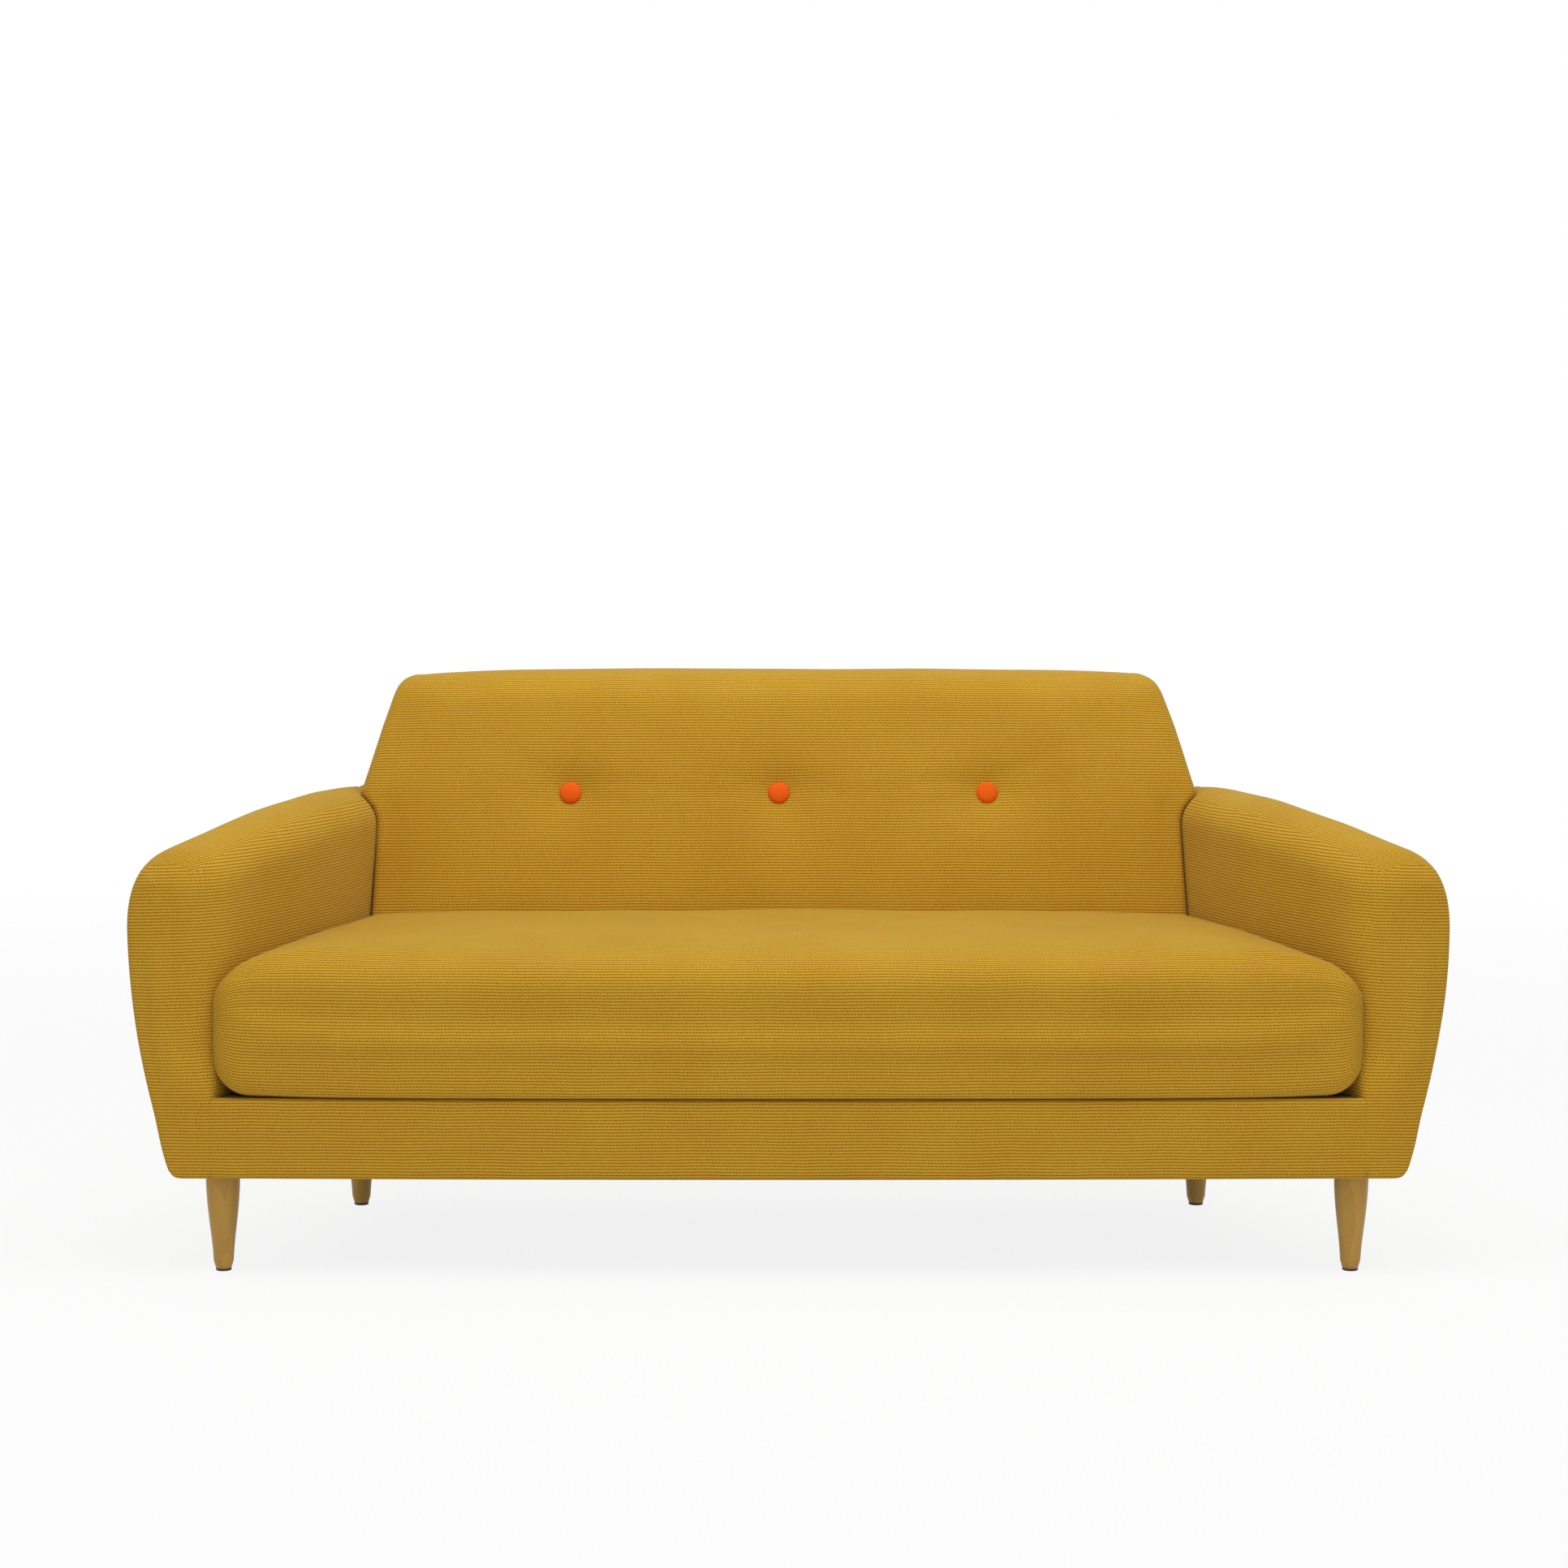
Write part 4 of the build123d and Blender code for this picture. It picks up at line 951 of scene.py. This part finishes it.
def stuff(piece, hold, pressure, cap):
    """Lets a cover swell under its stuffing until it is taut, no further than cap anywhere.

    hold(point) is 1 where the cover is fixed and 0 where it is free.
    """
    mesh = piece.data
    start = np.array([v.co[:] for v in mesh.vertices])
    fixed = piece.vertex_groups.new(name="Fixed")
    shares = np.array([hold(v.co) for v in mesh.vertices])
    for k, share in enumerate(shares):
        fixed.add([k], float(share), "REPLACE")
    cloth = piece.modifiers.new("Stuffing", "CLOTH")
    cloth.settings.quality = 5
    cloth.settings.mass = 0.4
    cloth.settings.tension_stiffness = 12.0
    cloth.settings.compression_stiffness = 12.0
    cloth.settings.bending_stiffness = 0.6
    cloth.settings.use_pressure = True
    cloth.settings.uniform_pressure_force = pressure
    cloth.settings.vertex_group_mass = "Fixed"
    cloth.settings.effector_weights.gravity = 0.0
    frames = 20
    cloth.point_cache.frame_start = 1
    cloth.point_cache.frame_end = frames
    for number in range(1, frames + 1):
        bpy.context.scene.frame_set(number)
    shown = piece.evaluated_get(bpy.context.evaluated_depsgraph_get())
    swollen = np.array([v.co[:] for v in shown.data.vertices])
    piece.modifiers.remove(cloth)
    piece.vertex_groups.remove(fixed)
    bpy.context.scene.frame_set(1)
    move = swollen - start
    length = np.linalg.norm(move, axis=1)[:, None] + 1e-9
    move *= cap * np.tanh(length / cap) / length * (1 - shares)[:, None]
    for vertex, point in zip(mesh.vertices, start + move):
        vertex.co = point
    mesh.update()


def off_button(point, x):
    """How far up or across the reclined face a point lies from the middle of the button at x."""
    return math.hypot(point.x - x, (point.z - button_z) / math.cos(recline))


def back_hold(point):
    behind = point.y > rear_plane(point.z) - 0.03
    low = point.z < 0.44
    pulled = min(off_button(point, x) for x in button_xs) < 0.018
    tight = limited((abs(point.x) - back_half(point.y, point.z) + 0.05) / 0.04)
    return 1.0 if behind or low or pulled else tight


for vertex in back.data.vertices:
    if vertex.co.y < rear_plane(vertex.co.z) - 0.05:
        for x in button_xs:
            pull = hollow_depth * math.exp(-((off_button(vertex.co, x) / hollow_reach) ** 2) * 3.2)
            vertex.co.y += pull * math.cos(recline)
            vertex.co.z -= pull * math.sin(recline)
stuff(back, back_hold, 3.0, 0.006)
ease_surface(back, 0.19, 0.0022, 7.7, 0.3, 0.2)
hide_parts("back_pad")


# ---- Outside back --------------------------------------------------------------------------------
# A lightly wadded panel of the same cloth closes the back and the rear of the arms. It is drawn over
# the frame's edges and closed by hand with short stitches all round.

panel_edge = 0.0025
panel_face, panel_inner = 0.0014, 0.0047
panel_wadding = 0.0035
panel_top, panel_corner = 0.801, 0.020
arm_meets_back_z = 0.641
panel_rows = 90


def outside_outline():
    """Half the panel's outline as half-widths and heights, from its foot to its top edge."""
    up, over = 60, 30
    line = [(arm_inside(rear_plane(z)) + offset, z) for offset, z in arm_section(0.30, up, over)]
    ridge = max(range(len(line)), key=lambda k: line[k][1])
    down_the_flank = line[ridge : 2 * up + over]
    lower = [(x - panel_edge, z + 0.001) for x, z in reversed(down_the_flank) if z > base_z + 0.0012]
    heights = list(np.linspace(arm_meets_back_z, panel_top - panel_corner, 15))
    heights += [panel_top - d for d in reversed(end_steps(panel_corner, 8))]
    crest = [(back_half(0.36, z) - panel_edge - rounded_end(panel_top - z, panel_corner), z) for z in heights]
    return resampled([p for p in lower if p[1] < arm_meets_back_z - 0.0005] + crest, panel_rows)


outline = outside_outline()


def outside_point(u, v, seen):
    half, z = outline[int(round(v * panel_rows))]
    edge = min(1.0, 14 * u * (1 - u)) * min(1.0, 10 * v * (1 - v))
    y = rear_plane(z) + (panel_wadding * edge**0.5 - panel_face if seen else -panel_inner)
    return (2 * u - 1) * half, y, z


points, faces = two_sheets(80, panel_rows, outside_point)
flat_cloth = [[(points[c][0], points[c][2]) for c in face] for face in faces]
outside = mesh_piece("outside_back_cover", points, faces, mustard, "sofa", flat_cloth)
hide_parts("outside_back")

linen = Finish("Mustard linen thread", Specular_IOR_Level=0.25)
twist = linen.cloudiness(linen.place(), 2600.0)
linen.feed(Base_Color=linen.mix(twist, colour(150, 104, 22), colour(214, 168, 70)))
linen.feed(Roughness=0.6 + twist * 0.2)
linen.raise_surface(twist, 0.0001, 0.7)

stitch_sizes = {"Spacing": 0.0125, "Stitch": 0.0075, "Slant": 0.45, "Bow": 0.0007, "Thread": 0.00045}
sewing = Pattern("Closing stitches", stitch_sizes)
seam = sewing.node("GeometryNodeMeshToCurve", None, {0: sewing.size("Path")})
stitch_ends = [sewing.vector(sewing.size("Stitch") * half) for half in (-0.5, 0.5)]
bowed = 1.0 - sewing.off_middle() ** 4.0
stitch = sewing.moved(sewing.line(*stitch_ends, 7), sewing.vector(0.0, 0.0, bowed * sewing.size("Bow")))
stitch = sewing.rod(stitch, 6, sewing.size("Thread"))
stitches = sewing.set_along(sewing.stepped(seam, sewing.size("Spacing")), stitch, sewing.size("Slant"))
sewing.close(stitches, linen.material)
side_line = [(half + 0.0006, rear_plane(z) - 0.0036, z) for half, z in outline]
seam_path = [(-x, y, z) for x, y, z in side_line] + side_line[::-1]
sewing.make("closing_stitches", "sofa", path=seam_path)


# ---- Covered buttons -----------------------------------------------------------------------------
# Domed steel shells pressed into orange cloth, 34 mm across, each drawn down on its twine until its
# rim sinks into the pad.

button_half, button_rise = 0.0168, 0.0074
button_segments = 48
orange = Finish("Orange button cloth", Roughness=0.8, Specular_IOR_Level=0.2, Sheen_Weight=0.02)
fine = orange.cloudiness(orange.place(), 1600.0, 3.0)
patch = orange.cloudiness(orange.place(), 60.0)
row_place = {0: orange.place(), "Scale": 420.0}
fine_rows = orange.node("ShaderNodeTexWave", {"bands_direction": "Z"}, row_place, out=1)
orange.feed(Base_Color=orange.mix(fine * 0.6 + patch * 0.4, colour(232, 86, 3), colour(246, 104, 9)))
orange.feed(Roughness=0.72 + fine * 0.2)
orange.raise_surface(fine_rows * 0.4 + fine * 0.5, 0.00025, 0.7)

profile = [(0.0, 1.0)]
profile += [(math.sin(a) ** 0.9, math.cos(a) ** 0.85) for a in np.linspace(0.06, math.pi / 2, 14)]
profile += [(0.985, -0.12), (0.93, -0.24), (0.5, -0.28), (0.0, -0.28)]
out_way = Vector((0, -math.cos(recline), math.sin(recline)))
side_way = Vector((1, 0, 0))
up_way = Vector((0, math.sin(recline), math.cos(recline)))
points, faces = [], []
for x in button_xs:
    seat = Vector((x, back_front(button_z) + hollow_depth * 0.62, button_z - hollow_depth * 0.16))
    base = len(points)
    for away, rise in profile:
        for k in range(button_segments):
            turn = 2 * math.pi * k / button_segments
            spread = side_way * math.cos(turn) + up_way * math.sin(turn)
            points.append(seat + spread * (away * button_half) + out_way * (rise * button_rise))
    for start in range(base, base + (len(profile) - 1) * button_segments, button_segments):
        for k in range(button_segments):
            a, b = start + k, start + (k + 1) % button_segments
            faces.append((a, b, b + button_segments, a + button_segments))
buttons = mesh_piece("covered_buttons", points, faces, orange.material, "sofa")
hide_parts("button_left", "button_middle", "button_right")


# ---- Front border --------------------------------------------------------------------------------
# A padded board under the cushion, bowed a little forwards and drawn flush with the arms at its ends,
# in the same cloth as they are.

border_low, border_high = 0.1365, 0.2494
border_half = arm_inside(front_y)
border_bow = 0.012
border_depth = 0.0115
border_low_round, border_high_round = 0.010, 0.007
border_end = 0.003


def border_rings(up, over, columns):
    """Sections from the border's right end to its left, and the weave's place along and across them."""
    stations = stations_between(2 * border_half, border_end, 3, columns)
    rings = []
    for distance in stations:
        x = distance - border_half
        face = front_y - border_bow * (1 - (x / border_half) ** 2)
        rear = face + border_depth
        low_rear, high_rear = (rear, border_low), (rear, border_high)
        low = softened([low_rear, (face, border_low), (face, border_low + 0.03)], 1, border_low_round)
        high = softened([(face, border_high - 0.03), (face, border_high), high_rear], 1, border_high_round)
        left = resampled(low[4:8] + high[1:5], up)
        top = resampled(high[4:8] + [high_rear], over)
        right = resampled([high_rear, low_rear], up)
        bottom = resampled([low_rear] + low[1:5], over)
        section = np.vstack([left[:-1], top[:-1], right[:-1], bottom[:-1]])
        share = x / border_half
        rings.append(np.array([(share * arm_inside(max(y, front_y)), y, z) for y, z in section]))
    heights = np.r_[section[:, 1], section[0, 1]]
    return rings, [d - border_half for d in stations], [heights] * len(rings)


border_up, border_over = 20, 4
border_map = border_rings(border_up, border_over, 110)
border = pad("front_border_cover", "sofa", border_up, border_over, *border_map)
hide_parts("front_border")


# ---- Seat cushion --------------------------------------------------------------------------------
# One long bench cushion of foam wrapped in wadding, loose on the deck and cut to the arms' flare. The
# cover is fuller in the middle, with a deep soft front edge and rounded ends.

cushion_low, cushion_front_z, cushion_crown_z = 0.2503, 0.4430, 0.4605
cushion_front, cushion_bow = -0.3745, 0.013
cushion_play, cushion_back_play = 0.0016, 0.0018
cushion_top_round, cushion_heel_round = 0.050, 0.012
cushion_top_rear_round, cushion_low_rear_round = 0.018, 0.020
end_top_round, end_top_round_loss, end_low_round = 0.056, 0.026, 0.040
end_front_round, end_rear_round = 0.031, 0.018
zip_line_z = 0.35525
zip_groove_half, zip_groove_reach, zip_groove_depth = 0.0200, 0.5840, 0.0088


def cushion_rear(z):
    return back_front(z) - cushion_back_play


def cushion_section(share, up, over):
    """A section in depth and height, for a share from -1 to 1 of the cushion's half length."""
    face = cushion_front + cushion_bow * share**2
    crown = (cushion_crown_z - cushion_front_z) * (1 - 0.2 * share**2)
    full = 0.26
    rise = [(face + d, cushion_front_z + crown * (1 - (1 - d / full) ** 2)) for d in (0.07, 0.12, 0.18)]
    rise += [(y, cushion_front_z + crown) for y in np.linspace(face + full, cushion_rear(0.44) - 0.03, 6)]
    top_front, top_rear = (face, cushion_front_z), (cushion_rear(0.452), cushion_front_z + crown)
    low_front, low_rear = (face, cushion_low), (cushion_rear(cushion_low), cushion_low)
    heel = cushion_heel_round + 0.030 * share**8
    front_low = softened([(face + 0.08, cushion_low), low_front, (face, 0.34)], 1, heel)
    front_high = softened([(face, 0.36), top_front, rise[0]], 1, cushion_top_round)
    rear_high = softened([rise[-1], top_rear, (cushion_rear(0.40), 0.40)], 1, cushion_top_rear_round)
    rear_foot = [(cushion_rear(0.30), 0.30), low_rear, (0.03, cushion_low)]
    rear_low = softened(rear_foot, 1, cushion_low_rear_round)
    left = resampled(front_low[4:8] + [(face, 0.34)] + front_high[1:5], up)
    top = resampled(front_high[4:8] + rise + rear_high[1:5], over)
    right = resampled(rear_high[4:8] + rear_low[1:5], up)
    bottom = resampled(rear_low[4:8] + front_low[1:5], over)
    return np.vstack([left[:-1], top[:-1], right[:-1], bottom[:-1]])


def zip_groove(x, z):
    """How deep the zip's groove is, at this place on the rear of the cover."""
    within_half = zip_groove_half - abs(z - zip_line_z) / math.cos(recline)
    within_reach = zip_groove_reach - abs(x)
    return zip_groove_depth * limited(within_half / 0.003) * limited(within_reach / 0.004)


def cushion_rings(up, over, columns):
    """Sections from the cushion's right end to its left, and the weave's place along and across them."""
    reach, half_cloth = 0.70, 0.75
    stations = stations_between(2 * reach, end_top_round, 10, columns)
    rings = []
    for distance in stations:
        share = distance / reach - 1.0
        near = min(distance, 2 * reach - distance)
        section = cushion_section(share, up, over)
        middle = (section[:, 1].max() + section[:, 1].min()) / 2
        tall = (section[:, 1].max() - section[:, 1].min()) / 2
        ring = []
        for y, z in section:
            back_share = limited((y - cushion_front - 0.06) / 0.22)
            up_share = (z - middle) / tall
            top_round = end_top_round - end_top_round_loss * back_share
            z_in = z - up_share * rounded_end(near, top_round if up_share > 0 else end_low_round)
            front_in = limited(1 - (y - cushion_front) / 0.12) * rounded_end(near, end_front_round)
            rear_in = limited(1 - (cushion_rear(z) - y) / 0.08) * rounded_end(near, end_rear_round)
            y_in = y + front_in - rear_in
            x = share * (arm_inside(max(y, front_y)) - cushion_play)
            if y > cushion_rear(z) - 0.004:
                y_in -= zip_groove(x, z)
            ring.append((x, y_in, z_in))
        rings.append(np.array(ring))
    round_the_middle = girth(cushion_section(0.0, up, over))
    return rings, [(d / reach - 1) * half_cloth for d in stations], [round_the_middle] * len(rings)


cushion_up, cushion_over = 40, 50
cushion_map = cushion_rings(cushion_up, cushion_over, 140)
cushion = pad("seat_cushion_cover", "cushion", cushion_up, cushion_over, *cushion_map)


def cushion_hold(point):
    low = (0.325 - point.z) / 0.065
    behind = (point.y - cushion_rear(point.z) + 0.035) / 0.020
    beside = (abs(point.x) - arm_inside(max(point.y, front_y)) + 0.045) / 0.033
    return limited(max(low, behind, beside))


stuff(cushion, cushion_hold, 4.0, 0.006)
ease_surface(cushion, 0.17, 0.003, 1.3, 0.30, 0.1)
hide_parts("seat_cushion")


# ---- Cushion zip ---------------------------------------------------------------------------------
# A nylon coil zip on a woven tape across the rear of the cover, so that it can come off for washing.
# The coil's teeth are one small arched wire, set again and again along the middle of the tape.

tape_cloth = Finish("Woven zip tape", Roughness=0.8, Specular_IOR_Level=0.3)
tape_place = {0: tape_cloth.place((380, 900, 900)), "Scale": 1.0}
tape_weave = tape_cloth.node("ShaderNodeTexWave", {"bands_direction": "Z"}, tape_place, out=1)
tape_fluff = tape_cloth.cloudiness(tape_cloth.place(), 1200.0, 3.0)
tape_cloth.feed(Base_Color=tape_cloth.mix(tape_weave, colour(140, 98, 18), colour(176, 130, 36)))
tape_cloth.feed(Roughness=0.7 + tape_fluff * 0.2)
tape_cloth.raise_surface(tape_weave + tape_fluff * 0.4, 0.0002, 0.6)
dress(tape_cloth.material, "cushion_zip")

coil_nylon = Finish("Zip coil nylon", Roughness=0.35)
coil_tone = coil_nylon.cloudiness(coil_nylon.place(), 500.0)
coil_nylon.feed(Base_Color=coil_nylon.mix(coil_tone, colour(128, 88, 18), colour(158, 112, 30)))
coil_nylon.feed(Roughness=0.3 + coil_tone * 0.15)

zip_low, zip_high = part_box("cushion_zip")
coil = Pattern(
    "Zip coil",
    {
        "Pitch": 0.0026,
        "Width": 0.0056,
        "Arch": 0.0010,
        "Start X": zip_low.x + 0.006,
        "End X": zip_high.x - 0.006,
        "Y": zip_high.y + 0.0006,
        "Z": (zip_low.z + zip_high.z) / 2,
        "Wire": 0.0007,
    },
)
first = coil.vector(coil.size("Start X"), coil.size("Y"), coil.size("Z"))
last = coil.vector(coil.size("End X"), coil.size("Y"), coil.size("Z"))
middle_line = coil.node("GeometryNodeCurvePrimitiveLine", None, {"Start": first, "End": last})
tooth_ends = [
    coil.vector(coil.size("Wire") * (-1.2 * half), 0.0, coil.size("Width") * half) for half in (-0.5, 0.5)
]
arched = 1.0 - coil.off_middle() ** 4.0
tooth = coil.moved(coil.line(*tooth_ends, 6), coil.vector(0.0, arched * coil.size("Arch"), 0.0))
row_of_teeth = {
    "Points": coil.stepped(middle_line, coil.size("Pitch")),
    "Instance": coil.rod(tooth, 5, coil.size("Wire")),
}
coil.close(coil.node("GeometryNodeInstanceOnPoints", None, row_of_teeth), coil_nylon.material)
teeth = coil.make("zip_teeth", "cushion")

nickel = Finish("Nickel-plated zinc", Metallic=1.0)
rubbed = nickel.cloudiness(nickel.place(), 260.0, 3.0)
nickel.feed(Base_Color=nickel.mix(rubbed, colour(196, 190, 180), colour(220, 216, 206)))
nickel.feed(Roughness=0.22 + rubbed * 0.25)
dress(nickel.material, "zip_slider")


# ---- Floor, light and camera ---------------------------------------------------------------------
# A white floor under a white sky, an even soft light from above and a little in front, and a camera
# at a seated person's eye height, straight before the sofa.


def in_plain_sight(work):
    """1 for what the camera sees, also in metal or through glass, and 0 for what lights the sofa."""
    camera_ray, glossy_ray, clear_ray = (work.node("ShaderNodeLightPath", out=k) for k in (0, 3, 6))
    return work.function("MAXIMUM", work.function("MAXIMUM", camera_ray, glossy_ray), clear_ray)


paper_grey = 0.86
glow_near, glow_far = 0.86, 1.0
fade_from, fade_to = 1.2, 6.0
paper = Finish("White paper floor", Roughness=0.9, Specular_IOR_Level=0.1)
paper.feed(Base_Color=(paper_grey, paper_grey, paper_grey, 1))
glow = paper.node("ShaderNodeEmission", None, {"Color": (1, 1, 1, 1), "Strength": 1.0})
away = paper.node("ShaderNodeVectorMath", {"operation": "LENGTH"}, {0: paper.place()}, out=1)
near_to_far = {0: away, 1: fade_from, 2: fade_to, 3: glow_near, 4: glow_far}
fade = paper.node("ShaderNodeMapRange", {"interpolation_type": "SMOOTHSTEP"}, near_to_far)
lit = Socket(paper, paper.shader.outputs[0])
shown = paper.node("ShaderNodeMixShader", None, {0: in_plain_sight(paper) * fade, 1: lit, 2: glow})
paper.join(shown, paper.tree.nodes["Material Output"].inputs[0])

floor_half = 60.0
floor_mesh = bpy.data.meshes.new("floor")
floor_corners = [(x * floor_half, y * floor_half, 0.0) for x, y in ((-1, -1), (1, -1), (1, 1), (-1, 1))]
floor_mesh.from_pydata(floor_corners, [], [(0, 1, 2, 3)])
floor_mesh.materials.append(paper.material)
floor = bpy.data.objects.new("floor", floor_mesh)
bpy.context.scene.collection.objects.link(floor)

world = bpy.data.worlds.new("Studio")
bpy.context.scene.world = world
world.use_nodes = True
sky = NodeWork(world.node_tree)
backdrop = world.node_tree.nodes["Background"]
backdrop.inputs["Color"].default_value = (1, 1, 1, 1)
sky_level = 0.60
sky.join(in_plain_sight(sky) * (1.0 - sky_level) + sky_level, backdrop.inputs["Strength"])

softbox = bpy.data.lights.new("Overhead softbox", "AREA")
softbox.shape = "RECTANGLE"
softbox.size = 2.6
softbox.size_y = 1.8
softbox.energy = 46
softbox_place, softbox_aim = Vector((0.1, -0.95, 3.0)), Vector((0, 0, 0.4))
softbox_holder = bpy.data.objects.new("Overhead softbox", softbox)
softbox_holder.location = softbox_place
softbox_holder.rotation_euler = (softbox_aim - softbox_place).to_track_quat("-Z", "Y").to_euler()
bpy.context.scene.collection.objects.link(softbox_holder)

camera_tilt = math.radians(3.96)
camera_data = bpy.data.cameras.new("Camera")
camera_data.sensor_width = 36.0
camera_data.lens = 76.38
camera_data.shift_x = 0.0557
camera = bpy.data.objects.new("Camera", camera_data)
camera.location = (-0.127, -4.935, 1.005)
camera.rotation_euler = (math.radians(90) - camera_tilt, 0, 0)
bpy.context.scene.collection.objects.link(camera)
bpy.context.scene.camera = camera
bpy.context.scene.view_settings.view_transform = "Standard"
